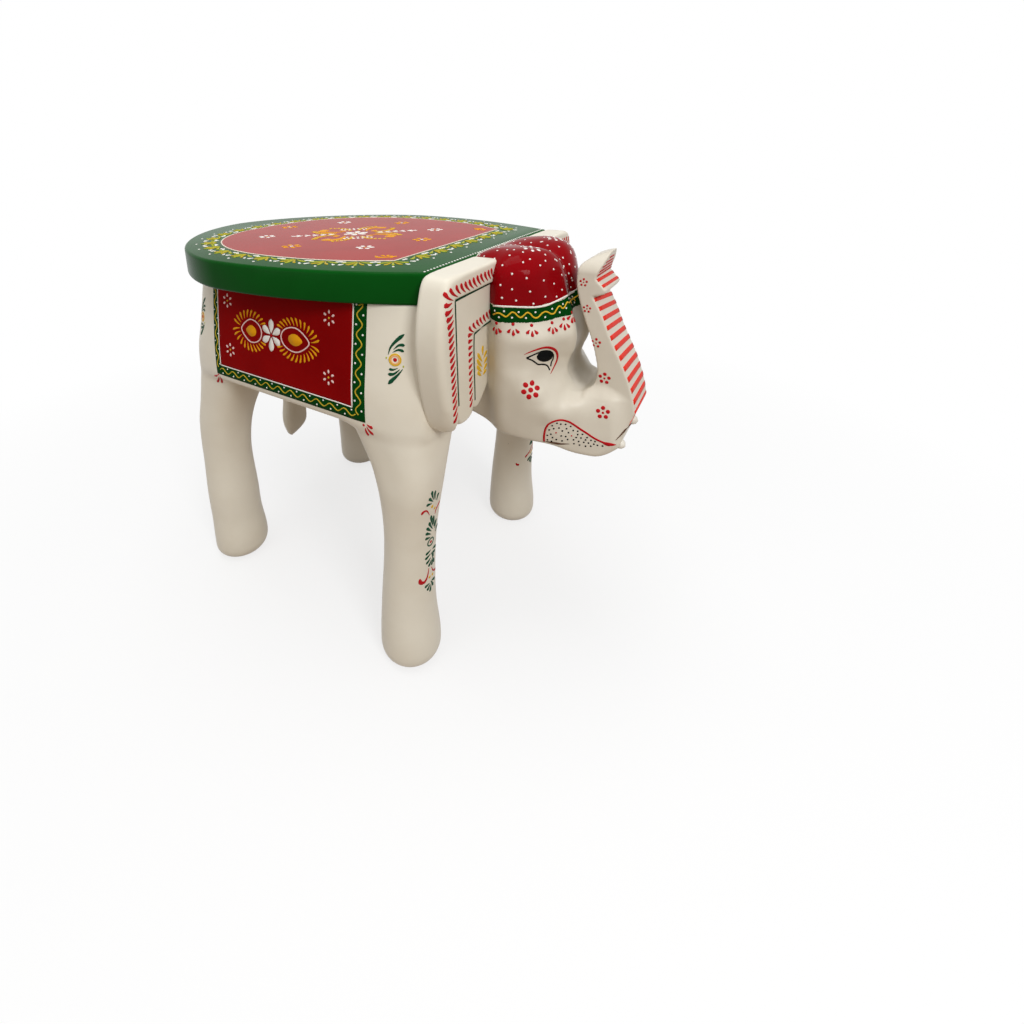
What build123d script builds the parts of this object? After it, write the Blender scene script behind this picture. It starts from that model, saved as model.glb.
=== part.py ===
from build123d import *
import os
from math import cos, pi, sin

# Frame: +X runs forward to the trunk, +Y to the elephant's left, +Z up, feet on z = 0.
# The origin lies under the middle of the stool. All sizes are in millimetres.

# ---- stack of heights ----------------------------------------------------------
leg_height = 222.0
body_height = 97.8
seat_thickness = 23.2
dome_rise = 7.5

# ---- seat board, a long oval cut straight across at the front -------------------
seat_front_x = 103.0
seat_length = 331.6
seat_widest_setback = 169.0
seat_half_width = 152.4
seat_front_half_width = 108.6
seat_rear_roundness = 1.7
seat_corner_round = 3.0
seat_edge_round = 2.0

# ---- body block -----------------------------------------------------------------
body_top_half_width = 124.0
body_belly_half_width = 131.0
body_front_taper = 14.0
body_front_length = 60.0
body_rear_length = 92.0
body_rear_overhang = 46.5
body_rear_roundness = 3.2
body_bottom_inset = 4.0
body_bottom_round_height = 12.0
rump_flat_depth = 1.0

# ---- legs -------------------------------------------------------------------------
shin_z = 108.0
knee_z = 172.0
haunch_z = 200.0
foot_straight_height = 19.0
foot_round = 11.0
front_leg_setback = 27.5
front_leg_half_track = 104.6
front_foot_radius = 26.2
front_shin_radius = 21.6
front_knee_radius = 24.8
front_haunch_length = 72.0
front_haunch_width = 60.0
front_top_length = 90.0
front_top_width = 68.0
front_top_shift = -11.0
front_leg_bow = 4.0
rear_leg_setback = 259.5
rear_leg_half_track = 101.0
rear_foot_radius = 27.0
rear_shin_radius = 24.2
rear_knee_radius = 25.4
rear_haunch_length = 60.0
rear_haunch_width = 58.0
rear_top_length = 72.0
rear_top_width = 68.0
rear_top_shift = 17.0
rear_leg_bow = -4.0

# ---- head block -------------------------------------------------------------------
neck_length = 22.0
neck_half_width = 52.0
neck_drop = 125.0
neck_top_fall = 1.5
skull_length = 69.0
skull_half_width = 60.0
skull_step = 1.0
skull_step_length = 10.0
skull_front_half_width = 36.0
crown_length = 10.0
crown_drop = 3.0
brow_drop = 60.0
cheek_swell = 4.0
dome_spacing = 54.0
dome_shoulder_half_width = 51.0
groove_depth = 6.0
snout_length = 83.0
snout_half_width = 29.0
saddle_drop = 101.0
slot_height = 18.0
jaw_half_width = 58.0
jaw_bottom_half_width = 50.0
jaw_drop = 136.0
lip_length = 107.0
lip_half_width = 30.0
lip_drop = 138.0
lip_front_height = 9.0
chin_drop = 152.0
chin_length = 13.0

# ---- trunk, a flat blade that rises in front of the forehead -----------------------
trunk_half_width = 21.0
trunk_reach = 42.6
trunk_slot_length = 10.5
trunk_back_lean = 18.3
trunk_back_knee_rise = 5.0
trunk_tip_lean = 2.0
trunk_tip_rise = 4.5
trunk_tip_hook = 10.0
fork_drop = 13.0
lobe_depth = 7.0
lower_lobe_drop = 22.0
notch_drop = 27.5
trunk_shoulder_setback = 14.6
trunk_shoulder_rise = 28.0
trunk_bulge_rise = 24.0
trunk_chin_tuck = 9.6

# ---- ears -----------------------------------------------------------------------------
ear_half_width = 118.0
ear_bulge = 6.0
ear_height = 116.0
ear_corner_radius = 8.0
ear_lobe_radius = 24.0
ear_band_width = 16.0
ear_inner_band_width = 32.0
ear_step_depth = 4.0

# ---- tusks and tail ---------------------------------------------------------------------
tusk_root_radius = 4.0
tusk_tip_radius = 1.4
tusk_length = 13.0
tusk_side_gap = 0.5
tusk_peg_radius = 2.5
tusk_peg_length = 12.0
tail_thickness = 13.0
tail_tip_thickness = 5.0
tail_root_width = 19.0
tail_tuft_width = 31.0
tail_tuft_height = 26.0
tail_length = 232.0
tail_top_drop = 8.0
tail_seat_height = 60.0
tail_sway = 3.0
tail_curl = 12.0
tail_tuft_shift = 11.0
tail_tip_shift = 3.0

# ---- dowels -------------------------------------------------------------------------------
glue_gap = 0.1
dowel_end_gap = 0.4
dowel_chamfer = 1.0
dowel_radius = 6.0
seat_dowel_in_seat = 14.0
seat_dowel_in_body = 32.0
seat_dowel_spacing_x = 180.0
seat_dowel_spacing_y = 130.0
leg_dowel_in_leg = 35.0
leg_dowel_in_body = 35.0
leg_dowel_spacing = 20.0
leg_dowel_inset = 12.0
rear_leg_dowel_shift = 6.0
neck_dowel_in_head = 40.0
neck_dowel_in_body = 40.0
neck_dowel_spread = 60.0
neck_dowel_drop = 40.0
neck_dowel_row = 46.0
ear_dowel_radius = 4.0
ear_dowel_in_ear = 10.0
ear_dowel_in_body = 25.0
ear_dowel_drop = 43.0
ear_dowel_spacing = 30.0
trunk_dowel_radius = 4.0
trunk_dowel_in_trunk = 18.0
trunk_dowel_in_head = 24.0
trunk_dowel_spacing = 20.0
tail_dowel_radius = 3.5
tail_dowel_in_tail = 8.0
tail_dowel_in_body = 22.0

# ---- heights and places that follow from the sizes above --------------------------------
body_top_z = leg_height + body_height
seat_top_z = body_top_z + seat_thickness
seat_widest_x = seat_front_x - seat_widest_setback
seat_rear_x = seat_front_x - seat_length
body_rear_x = seat_rear_x + body_rear_overhang
rump_x = body_rear_x + rump_flat_depth
front_leg_x = seat_front_x - front_leg_setback
rear_leg_x = seat_front_x - rear_leg_setback
body_foot_half_width = body_belly_half_width - body_bottom_inset
dome_top_z = seat_top_z + dome_rise
neck_front_x = seat_front_x + neck_length
skull_front_x = seat_front_x + skull_length
snout_x = seat_front_x + snout_length
lip_x = seat_front_x + lip_length
lip_top_z = seat_top_z - lip_drop
saddle_z = seat_top_z - saddle_drop
ear_bottom_z = seat_top_z - ear_height
ear_middle_y = (neck_half_width + ear_half_width) / 2
tail_top_z = body_top_z - tail_top_drop


def seat_outline_point(t):
    """Point on the seat's left half: t from -1 at the front corner, over 0, to 1 at the rear."""
    if t < 0:
        y = seat_half_width - (seat_half_width - seat_front_half_width) * t * t
        return (seat_widest_x - t * (seat_front_x - seat_widest_x), y)
    angle = t * pi / 2
    power = 2 / seat_rear_roundness
    x = seat_widest_x - (seat_widest_x - seat_rear_x) * sin(angle) ** power
    return (x, seat_half_width * max(cos(angle), 0) ** power)


def body_outline_point(t, half_width):
    """Point on the body's left half: t from -1 at the front corner, over 0, to 1 at the rear."""
    front_bend_x = seat_front_x - body_front_length
    waist_x = body_rear_x + body_rear_length
    if t < -0.5:
        share = -2 * t - 1
        return (front_bend_x + body_front_length * share, half_width - body_front_taper * share * share)
    if t < 0:
        return (waist_x - 2 * t * (front_bend_x - waist_x), half_width)
    angle = t * pi / 2
    power = 2 / body_rear_roundness
    x = waist_x - body_rear_length * sin(angle) ** power
    return (x, half_width * max(cos(angle), 0) ** power)


def closed_outline(half):
    """Closed line from a left half given front to rear, its mirror image and a straight front."""
    mirrored = [(x, -y) for x, y in reversed(half[:-1])]
    points = half + mirrored
    Spline(*points)
    Line(points[-1], points[0])


def facing_down(z):
    """Plane at height z that looks down; its own y is the stool's y turned round."""
    return Plane(origin=(0, 0, z), x_dir=(1, 0, 0), z_dir=(0, 0, -1))


def facing_front(x):
    """Plane at x that looks forward; its own x and y are the stool's y and z."""
    return Plane(origin=(x, 0, 0), x_dir=(0, 1, 0), z_dir=(1, 0, 0))


def facing_back(x):
    """Plane at x that looks back; its own x is the stool's y turned round, its y the stool's z."""
    return Plane(origin=(x, 0, 0), x_dir=(0, -1, 0), z_dir=(-1, 0, 0))


def dowel_holes(places, joint, radius, depth):
    """Blind holes cut inward from the joint plane, a little wider and deeper than the dowels."""
    with BuildSketch(joint) as mouths:
        with Locations(*places):
            Circle(radius + glue_gap)
    extrude(mouths.sketch, amount=-(depth + dowel_end_gap), mode=Mode.SUBTRACT)


def dowels(places, joint, radius, behind, ahead):
    """Round dowels across a joint plane, with chamfered ends."""
    with BuildSketch(joint.offset(-behind)) as ends:
        with Locations(*places):
            Circle(radius)
    dowel_set = extrude(ends.sketch, amount=behind + ahead)
    chamfer(dowel_set.edges().filter_by(GeomType.CIRCLE), dowel_chamfer)


# ---- seat board ----------------------------------------------------------------------
seat_steps = [-1, -0.75, -0.5, -0.25, -0.08, 0, 0.08, 0.2, 0.36, 0.54, 0.7, 0.84, 0.94, 1]
seat_dowel_places = [
    (seat_widest_x + i * seat_dowel_spacing_x / 2, j * seat_dowel_spacing_y / 2)
    for i in (-1, 1)
    for j in (-1, 1)
]

with BuildPart() as seat_board:
    with BuildSketch(Plane.XY.offset(body_top_z)):
        with BuildLine():
            closed_outline([seat_outline_point(t) for t in seat_steps])
        make_face()
    extrude(amount=seat_thickness)
    fillet(seat_board.edges().filter_by(Axis.Z), seat_corner_round)
    fillet(seat_board.faces().filter_by(Axis.Z).edges(), seat_edge_round)
    dowel_holes(seat_dowel_places, facing_down(body_top_z), dowel_radius, seat_dowel_in_seat)

with BuildPart() as seat_dowels:
    dowels(seat_dowel_places, Plane.XY.offset(body_top_z), dowel_radius,
           seat_dowel_in_body, seat_dowel_in_seat)

# ---- body block ----------------------------------------------------------------------
body_steps = [-1, -0.75, -0.5, -0.25, 0, 0.15, 0.3, 0.44, 0.56, 0.68, 0.8, 0.92, 1]
body_layers = [
    (leg_height, body_foot_half_width),
    (leg_height + body_bottom_round_height, body_belly_half_width),
    (body_top_z, body_top_half_width),
]
front_leg_dowel_places = [
    (front_leg_x + i * leg_dowel_spacing / 2, side * (front_leg_half_track - leg_dowel_inset))
    for side in (-1, 1)
    for i in (-1, 1)
]
rear_leg_dowel_places = [
    (rear_leg_x + rear_leg_dowel_shift + i * leg_dowel_spacing / 2, side * (rear_leg_half_track - leg_dowel_inset))
    for side in (-1, 1)
    for i in (-1, 1)
]
neck_dowel_top_z = seat_top_z - neck_dowel_drop
neck_dowel_places = [
    (-neck_dowel_spread / 2, neck_dowel_top_z),
    (neck_dowel_spread / 2, neck_dowel_top_z),
    (0, neck_dowel_top_z - neck_dowel_row),
]
ear_dowel_places = [
    (side * ear_middle_y, seat_top_z - ear_dowel_drop - row * ear_dowel_spacing)
    for side in (-1, 1)
    for row in (0, 1)
]
tail_dowel_places = [(0, tail_top_z - tail_seat_height / 2)]

with BuildPart() as body_block:
    for z, half_width in body_layers:
        with BuildSketch(Plane.XY.offset(z)):
            with BuildLine():
                closed_outline([body_outline_point(t, half_width) for t in body_steps])
            make_face()
    loft(ruled=True)
    split(bisect_by=facing_front(rump_x), keep=Keep.TOP)
    dowel_holes(seat_dowel_places, Plane.XY.offset(body_top_z), dowel_radius, seat_dowel_in_body)
    dowel_holes(front_leg_dowel_places + rear_leg_dowel_places, facing_down(leg_height),
                dowel_radius, leg_dowel_in_body)
    dowel_holes(neck_dowel_places, facing_front(seat_front_x), dowel_radius, neck_dowel_in_body)
    dowel_holes(ear_dowel_places, facing_front(seat_front_x), ear_dowel_radius, ear_dowel_in_body)
    dowel_holes(tail_dowel_places, facing_back(rump_x), tail_dowel_radius, tail_dowel_in_body)

# ---- legs: rings of (height, shift along x, half length, half width, half track) -----------
front_leg_rings = [
    (0, 0, front_foot_radius, front_foot_radius, front_leg_half_track),
    (foot_straight_height, 0, front_foot_radius, front_foot_radius, front_leg_half_track),
    (shin_z, front_leg_bow / 2, front_shin_radius, front_shin_radius, front_leg_half_track),
    (knee_z, front_leg_bow, front_knee_radius, front_knee_radius, front_leg_half_track),
    (haunch_z, (front_leg_bow + front_top_shift) / 2, front_haunch_length / 2,
     front_haunch_width / 2, body_belly_half_width - front_haunch_width / 2),
    (leg_height, front_top_shift, front_top_length / 2, front_top_width / 2,
     body_foot_half_width - front_top_width / 2),
]
rear_leg_rings = [
    (0, 0, rear_foot_radius, rear_foot_radius, rear_leg_half_track),
    (foot_straight_height, 0, rear_foot_radius, rear_foot_radius, rear_leg_half_track),
    (shin_z, rear_leg_bow, rear_shin_radius, rear_shin_radius, rear_leg_half_track),
    (knee_z, 0, rear_knee_radius, rear_knee_radius, rear_leg_half_track),
    (haunch_z, rear_top_shift / 2, rear_haunch_length / 2, rear_haunch_width / 2,
     body_belly_half_width - rear_haunch_width / 2),
    (leg_height, rear_top_shift, rear_top_length / 2, rear_top_width / 2,
     body_foot_half_width - rear_top_width / 2),
]


def carve_leg(rings, foot_x, side, dowel_places):
    """One leg on the left (side 1) or right (side -1), with a rounded foot and dowel holes."""
    sections = []
    for z, shift, half_length, half_width, half_track in rings:
        with BuildSketch(Plane.XY.offset(z)) as ring:
            with Locations((foot_x + shift, side * half_track)):
                Ellipse(half_length, half_width)
        sections.append(ring.sketch)
    leg = loft(sections)
    fillet(leg.faces().sort_by(Axis.Z)[0].edges(), foot_round)
    own_places = [(x, y) for x, y in dowel_places if y * side > 0]
    dowel_holes(own_places, Plane.XY.offset(leg_height), dowel_radius, leg_dowel_in_leg)


with BuildPart() as front_right_leg:
    carve_leg(front_leg_rings, front_leg_x, -1, front_leg_dowel_places)
with BuildPart() as front_left_leg:
    carve_leg(front_leg_rings, front_leg_x, 1, front_leg_dowel_places)
with BuildPart() as rear_right_leg:
    carve_leg(rear_leg_rings, rear_leg_x, -1, rear_leg_dowel_places)
with BuildPart() as rear_left_leg:
    carve_leg(rear_leg_rings, rear_leg_x, 1, rear_leg_dowel_places)
with BuildPart() as front_leg_dowels:
    dowels(front_leg_dowel_places, Plane.XY.offset(leg_height), dowel_radius,
           leg_dowel_in_leg, leg_dowel_in_body)
with BuildPart() as rear_leg_dowels:
    dowels(rear_leg_dowel_places, Plane.XY.offset(leg_height), dowel_radius,
           leg_dowel_in_leg, leg_dowel_in_body)

# ---- head block: its side, plan and front outlines are sawn one after the other --------------
brow_z = seat_top_z - brow_drop
neck_z = seat_top_z - neck_drop
jaw_z = seat_top_z - jaw_drop
chin_z = seat_top_z - chin_drop
tusk_y = trunk_half_width + tusk_side_gap + tusk_root_radius
tusk_z = lip_top_z - tusk_root_radius
tusk_places = [(-tusk_y, tusk_z), (tusk_y, tusk_z)]
trunk_dowel_z = (lip_top_z + saddle_z) / 2
trunk_dowel_places = [(i * trunk_dowel_spacing / 2, trunk_dowel_z) for i in (-1, 1)]
head_right_profile = [
    (jaw_bottom_half_width, chin_z),
    (jaw_half_width, (jaw_z + neck_z) / 2),
    (skull_half_width, saddle_z),
    (skull_half_width, brow_z),
    (dome_shoulder_half_width, seat_top_z),
    (dome_spacing / 2, dome_top_z),
    (0, dome_top_z - groove_depth),
]
head_left_profile = [(-y, z) for y, z in reversed(head_right_profile[:-1])]

with BuildPart() as head_block:
    with BuildSketch(Plane.XZ):
        with BuildLine():
            crown = Spline(
                (seat_front_x, seat_top_z),
                (neck_front_x, dome_top_z - neck_top_fall),
                ((neck_front_x + skull_front_x) / 2, dome_top_z),
                (skull_front_x - crown_length, seat_top_z - crown_drop),
                (skull_front_x, brow_z),
                (skull_front_x + cheek_swell, saddle_z + slot_height),
                (snout_x, saddle_z),
            )
            Polyline(
                crown @ 1,
                (snout_x, lip_top_z),
                (lip_x, lip_top_z),
                (lip_x, lip_top_z - lip_front_height),
            )
            jaw = Spline(
                (lip_x, lip_top_z - lip_front_height),
                (lip_x - chin_length, chin_z),
                (skull_front_x, jaw_z),
                (seat_front_x, neck_z),
            )
            Line(jaw @ 1, crown @ 0)
        make_face()
    extrude(amount=skull_half_width * 2, both=True)
    with BuildSketch(Plane.XY):
        with BuildLine():
            for side in (-1, 1):
                Polyline(
                    (seat_front_x, 0),
                    (seat_front_x, side * neck_half_width),
                    (neck_front_x, side * neck_half_width),
                    (neck_front_x, side * (skull_half_width - skull_step)),
                )
                Spline(
                    (neck_front_x, side * (skull_half_width - skull_step)),
                    (neck_front_x + skull_step_length, side * skull_half_width),
                    (skull_front_x, side * skull_front_half_width),
                    (snout_x, side * snout_half_width),
                    (lip_x, side * lip_half_width),
                )
                Line((lip_x, side * lip_half_width), (lip_x, 0))
        make_face()
    extrude(amount=seat_top_z * 2, mode=Mode.INTERSECT)
    with BuildSketch(facing_front(seat_front_x)):
        with BuildLine():
            Spline(*head_right_profile, *head_left_profile)
            Line(head_left_profile[-1], head_right_profile[0])
        make_face()
    extrude(amount=lip_length * 2, mode=Mode.INTERSECT)
    dowel_holes(neck_dowel_places, facing_back(seat_front_x), dowel_radius, neck_dowel_in_head)
    dowel_holes(trunk_dowel_places, facing_front(snout_x), trunk_dowel_radius, trunk_dowel_in_head)
    dowel_holes(tusk_places, facing_front(lip_x), tusk_peg_radius, tusk_peg_length)

with BuildPart() as neck_dowels:
    dowels(neck_dowel_places, facing_front(seat_front_x), dowel_radius,
           neck_dowel_in_body, neck_dowel_in_head)

# ---- trunk ------------------------------------------------------------------------------
notch_z = seat_top_z - notch_drop
blade_foot_x = snout_x + trunk_slot_length
blade_top_x = blade_foot_x - trunk_back_lean
tip_x = blade_foot_x + trunk_tip_lean
tip_z = seat_top_z + trunk_tip_rise
fork_x = tip_x - lobe_depth
trunk_front_x = snout_x + trunk_reach

with BuildPart() as trunk:
    with BuildSketch(Plane.XZ):
        with BuildLine():
            back = Spline(
                (snout_x, saddle_z),
                (blade_foot_x, saddle_z + slot_height),
                (blade_top_x, notch_z + trunk_back_knee_rise),
                (blade_top_x + lobe_depth / 2, tip_z - trunk_tip_hook),
                (tip_x, tip_z),
            )
            Polyline(
                back @ 1,
                (fork_x, seat_top_z - fork_drop),
                (tip_x, seat_top_z - lower_lobe_drop),
                (fork_x, notch_z),
            )
            front = Spline(
                (fork_x, notch_z),
                (trunk_front_x - trunk_shoulder_setback, saddle_z + trunk_shoulder_rise),
                (trunk_front_x, lip_top_z + trunk_bulge_rise),
                (trunk_front_x - trunk_chin_tuck, lip_top_z),
            )
            Polyline(front @ 1, (snout_x, lip_top_z), back @ 0)
        make_face()
    extrude(amount=trunk_half_width, both=True)
    dowel_holes(trunk_dowel_places, facing_back(snout_x), trunk_dowel_radius, trunk_dowel_in_trunk)

with BuildPart() as trunk_dowels:
    dowels(trunk_dowel_places, facing_front(snout_x), trunk_dowel_radius,
           trunk_dowel_in_head, trunk_dowel_in_trunk)

# ---- ears -------------------------------------------------------------------------------


def carve_ear(side):
    """One ear slab with its outer band and the two terraces sunk into its front."""
    inner_y = side * neck_half_width
    outer_y = side * ear_half_width
    with BuildSketch(facing_front(seat_front_x)) as slab:
        with BuildLine():
            ThreePointArc(
                (outer_y, seat_top_z),
                (side * (ear_half_width + ear_bulge), (seat_top_z + ear_bottom_z) / 2),
                (outer_y, ear_bottom_z),
            )
            Polyline(
                (outer_y, ear_bottom_z),
                (inner_y, ear_bottom_z),
                (inner_y, seat_top_z),
                (outer_y, seat_top_z),
            )
        make_face()
        fillet(slab.vertices().sort_by_distance((outer_y, ear_bottom_z))[0], ear_lobe_radius)
        fillet(slab.vertices().sort_by_distance((outer_y, seat_top_z))[0], ear_corner_radius)
    extrude(slab.sketch, amount=neck_length)
    band_width = ear_band_width
    for step in (1, 2):
        with BuildSketch(facing_front(neck_front_x - step * ear_step_depth)) as terrace:
            with BuildLine():
                Polyline(
                    (inner_y, seat_top_z - band_width),
                    (outer_y - side * band_width, seat_top_z - band_width),
                    (outer_y - side * band_width, ear_bottom_z),
                    (inner_y, ear_bottom_z),
                    close=True,
                )
            make_face()
        extrude(terrace.sketch, amount=ear_step_depth, mode=Mode.SUBTRACT)
        band_width += ear_inner_band_width
    own_places = [(-y, z) for y, z in ear_dowel_places if y * side > 0]
    dowel_holes(own_places, facing_back(seat_front_x), ear_dowel_radius, ear_dowel_in_ear)


with BuildPart() as right_ear:
    carve_ear(-1)
with BuildPart() as left_ear:
    carve_ear(1)
with BuildPart() as ear_dowels:
    dowels(ear_dowel_places, facing_front(seat_front_x), ear_dowel_radius,
           ear_dowel_in_body, ear_dowel_in_ear)

# ---- tusks ------------------------------------------------------------------------------


def carve_tusk(place):
    """One short tusk: a tapering point with a thin peg behind it."""
    rings = []
    for x, radius in ((lip_x, tusk_root_radius), (lip_x + tusk_length, tusk_tip_radius)):
        with BuildSketch(facing_front(x)) as ring:
            with Locations(place):
                Circle(radius)
        rings.append(ring.sketch)
    loft(rings)
    with BuildSketch(facing_front(lip_x)) as peg:
        with Locations(place):
            Circle(tusk_peg_radius)
    extrude(peg.sketch, amount=-tusk_peg_length)


with BuildPart() as right_tusk:
    carve_tusk(tusk_places[0])
with BuildPart() as left_tusk:
    carve_tusk(tusk_places[1])

# ---- tail -------------------------------------------------------------------------------
tail_tip_z = tail_top_z - tail_length
tail_seat_bottom_z = tail_top_z - tail_seat_height
tail_middle_z = (tail_seat_bottom_z + tail_tip_z) / 2

with BuildPart() as tail:
    with BuildSketch(Plane.XZ):
        with BuildLine():
            inner = Spline(
                (rump_x, tail_seat_bottom_z),
                (rump_x - tail_sway, tail_middle_z),
                (rump_x + tail_curl, tail_tip_z),
                tangents=((0, -1), (tail_curl, tail_tip_z - tail_middle_z)),
            )
            outer = Spline(
                (rump_x - tail_thickness, tail_seat_bottom_z),
                (rump_x - tail_sway - tail_thickness, tail_middle_z),
                (rump_x + tail_curl - tail_tip_thickness, tail_tip_z),
                tangents=((0, -1), (tail_curl, tail_tip_z - tail_middle_z)),
            )
            Line(inner @ 1, outer @ 1)
            Polyline(
                outer @ 0,
                (rump_x - tail_thickness, tail_top_z),
                (rump_x, tail_top_z),
                inner @ 0,
            )
        make_face()
    extrude(amount=tail_tuft_width, both=True)
    with BuildSketch(facing_front(rump_x)):
        with BuildLine():
            for side in (-1, 1):
                Polyline(
                    (0, tail_top_z),
                    (side * tail_root_width / 2, tail_top_z),
                    (side * tail_root_width / 2, tail_seat_bottom_z),
                )
                Spline(
                    (side * tail_root_width / 2, tail_seat_bottom_z),
                    (tail_tuft_shift + side * tail_tuft_width / 2, tail_tip_z + tail_tuft_height),
                    tangents=((0, -1), (0, -1)),
                )
                Spline(
                    (tail_tuft_shift + side * tail_tuft_width / 2, tail_tip_z + tail_tuft_height),
                    (tail_tip_shift, tail_tip_z),
                    tangents=((0, -1), (-side, -1)),
                )
        make_face()
    extrude(amount=tail_tuft_width * 2, both=True, mode=Mode.INTERSECT)
    dowel_holes(tail_dowel_places, facing_front(rump_x), tail_dowel_radius, tail_dowel_in_tail)

with BuildPart() as tail_dowel:
    dowels(tail_dowel_places, facing_front(rump_x), tail_dowel_radius,
           tail_dowel_in_tail, tail_dowel_in_body)

# ---- names and files ----------------------------------------------------------------------
pieces = {
    "seat_board": seat_board,
    "seat_dowels": seat_dowels,
    "body_block": body_block,
    "front_right_leg": front_right_leg,
    "front_left_leg": front_left_leg,
    "rear_right_leg": rear_right_leg,
    "rear_left_leg": rear_left_leg,
    "front_leg_dowels": front_leg_dowels,
    "rear_leg_dowels": rear_leg_dowels,
    "head_block": head_block,
    "neck_dowels": neck_dowels,
    "trunk": trunk,
    "trunk_dowels": trunk_dowels,
    "right_ear": right_ear,
    "left_ear": left_ear,
    "ear_dowels": ear_dowels,
    "right_tusk": right_tusk,
    "left_tusk": left_tusk,
    "tail": tail,
    "tail_dowel": tail_dowel,
}

os.makedirs("parts", exist_ok=True)
for name, piece in pieces.items():
    piece.part.label = name
    export_step(piece.part, f"parts/{name}.step")
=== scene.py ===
"""Carved and painted elephant stool, built in millimetres and shown in metres."""

import logging
import math
from dataclasses import dataclass, field
from enum import Enum
from typing import Iterable, Sequence

import bpy
import numpy as np
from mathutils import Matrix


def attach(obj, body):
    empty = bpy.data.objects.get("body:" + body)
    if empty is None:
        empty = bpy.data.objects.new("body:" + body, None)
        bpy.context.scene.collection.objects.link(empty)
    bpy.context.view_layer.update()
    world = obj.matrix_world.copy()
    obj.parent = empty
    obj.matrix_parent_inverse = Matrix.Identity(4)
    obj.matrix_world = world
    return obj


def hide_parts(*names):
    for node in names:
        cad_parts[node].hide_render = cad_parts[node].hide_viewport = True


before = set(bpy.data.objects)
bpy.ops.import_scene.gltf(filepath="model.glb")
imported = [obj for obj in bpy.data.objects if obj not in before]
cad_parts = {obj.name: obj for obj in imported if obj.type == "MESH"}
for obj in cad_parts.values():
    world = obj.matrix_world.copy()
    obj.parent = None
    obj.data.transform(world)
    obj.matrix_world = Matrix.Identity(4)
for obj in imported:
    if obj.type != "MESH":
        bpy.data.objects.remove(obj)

import openvdb
from mathutils import Matrix, Vector
from mathutils.bvhtree import BVHTree

log = logging.getLogger("elephant_stool")
MM = 0.001
Array = np.ndarray
Point = tuple[float, ...]
Row = tuple[float, ...]
Line = tuple[Point, ...]


# ---- Smooth shapes given by signed distances ----


def join(a: Array, b: Array, blend: float | Array) -> Array:
    """Union of two distance fields with a soft fillet of some width, in millimetres."""
    h = np.maximum(blend - np.abs(a - b), 0.0) / blend
    return np.minimum(a, b) - h * h * blend * 0.25


def keep(a: Array, b: Array, blend: float | Array) -> Array:
    """Common part of two distance fields with a rounded edge of some width, in millimetres."""
    return -join(-a, -b, blend)


def flow(points: Sequence[Point], per: int = 8) -> list[Point]:
    """Smooth open line through points (Catmull-Rom).

    Args:
        points: the points it passes through.
        per: samples for each span.

    Returns:
        The sampled line, both ends included.
    """
    p = np.asarray(points, float)
    if len(p) < 3:
        return [tuple(q) for q in p]
    ends = np.vstack([2 * p[0] - p[1], p, 2 * p[-1] - p[-2]])
    out = []
    for i in range(1, len(ends) - 2):
        a, b, c, d = ends[i - 1 : i + 3]
        for t in np.linspace(0, 1, per, endpoint=False):
            out.append(
                0.5 * (2 * b + (c - a) * t + (2 * a - 5 * b + 4 * c - d) * t * t
                       + (3 * b - a - 3 * c + d) * t ** 3)
            )
    out.append(p[-1])
    return [tuple(q) for q in out]


def outline(*runs: Sequence[Point]) -> list[Point]:
    """Closed outline from smooth runs that meet in corners.

    Args:
        runs: lists of points; each run is a smooth line and starts where the last one ended.

    Returns:
        The points of the outline.
    """
    points: list[Point] = []
    for run in runs:
        points += flow(run)[:-1]
    return points


def heading(degrees: float) -> Array:
    """Unit vector at an angle in a plane."""
    return np.array([math.cos(math.radians(degrees)), math.sin(math.radians(degrees))])


def square_to(way: Array) -> Array:
    """Vector of a plane turned a quarter turn to the left."""
    return np.array([-way[1], way[0]])


def swung(way: Array, angle: float) -> Array:
    """Vector of a plane turned to the left by an angle in radians."""
    return way * math.cos(angle) + square_to(way) * math.sin(angle)


def length_along(line: Array) -> Array:
    """Length from the start of a line to each of its points."""
    return np.r_[0, np.cumsum(np.linalg.norm(np.diff(line, axis=0), axis=1))]


def outline_distance(a: Array, b: Array, points: Sequence[Point]) -> Array:
    """Signed distance to a closed outline in a plane.

    Args:
        a: first coordinate, broadcastable.
        b: second coordinate, broadcastable.
        points: corners of the outline.

    Returns:
        Distance, negative inside.
    """
    shape = np.broadcast(a, b).shape
    nearest = np.full(shape, 1e12)
    inside = np.zeros(shape, bool)
    for (ax, ay), (bx, by) in zip(points, list(points[1:]) + [points[0]]):
        ex, ey = bx - ax, by - ay
        wx, wy = a - ax, b - ay
        t = np.clip((wx * ex + wy * ey) / (ex * ex + ey * ey + 1e-12), 0, 1)
        nearest = np.minimum(nearest, (wx - t * ex) ** 2 + (wy - t * ey) ** 2)
        if ay != by:
            inside ^= ((ay > b) != (by > b)) & (a < ex * (b - ay) / ey + ax)
    return np.where(inside, -1.0, 1.0) * np.sqrt(nearest)


def profile(at: Array, knots: Sequence[float], values: Sequence[float]) -> Array:
    """Smooth curve through values given at knots.

    Args:
        at: where to read the curve.
        knots: rising positions.
        values: the curve's value at each knot.

    Returns:
        The curve at every position.
    """
    k, v = np.asarray(knots, float), np.asarray(values, float)
    slope = np.gradient(v, k)
    i = np.clip(np.searchsorted(k, at) - 1, 0, len(k) - 2)
    w = k[i + 1] - k[i]
    t = np.clip((at - k[i]) / w, 0, 1)
    return (
        v[i] * (1 + 2 * t) * (1 - t) ** 2
        + v[i + 1] * t * t * (3 - 2 * t)
        + w * slope[i] * t * (1 - t) ** 2
        - w * slope[i + 1] * t * t * (1 - t)
    )


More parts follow.
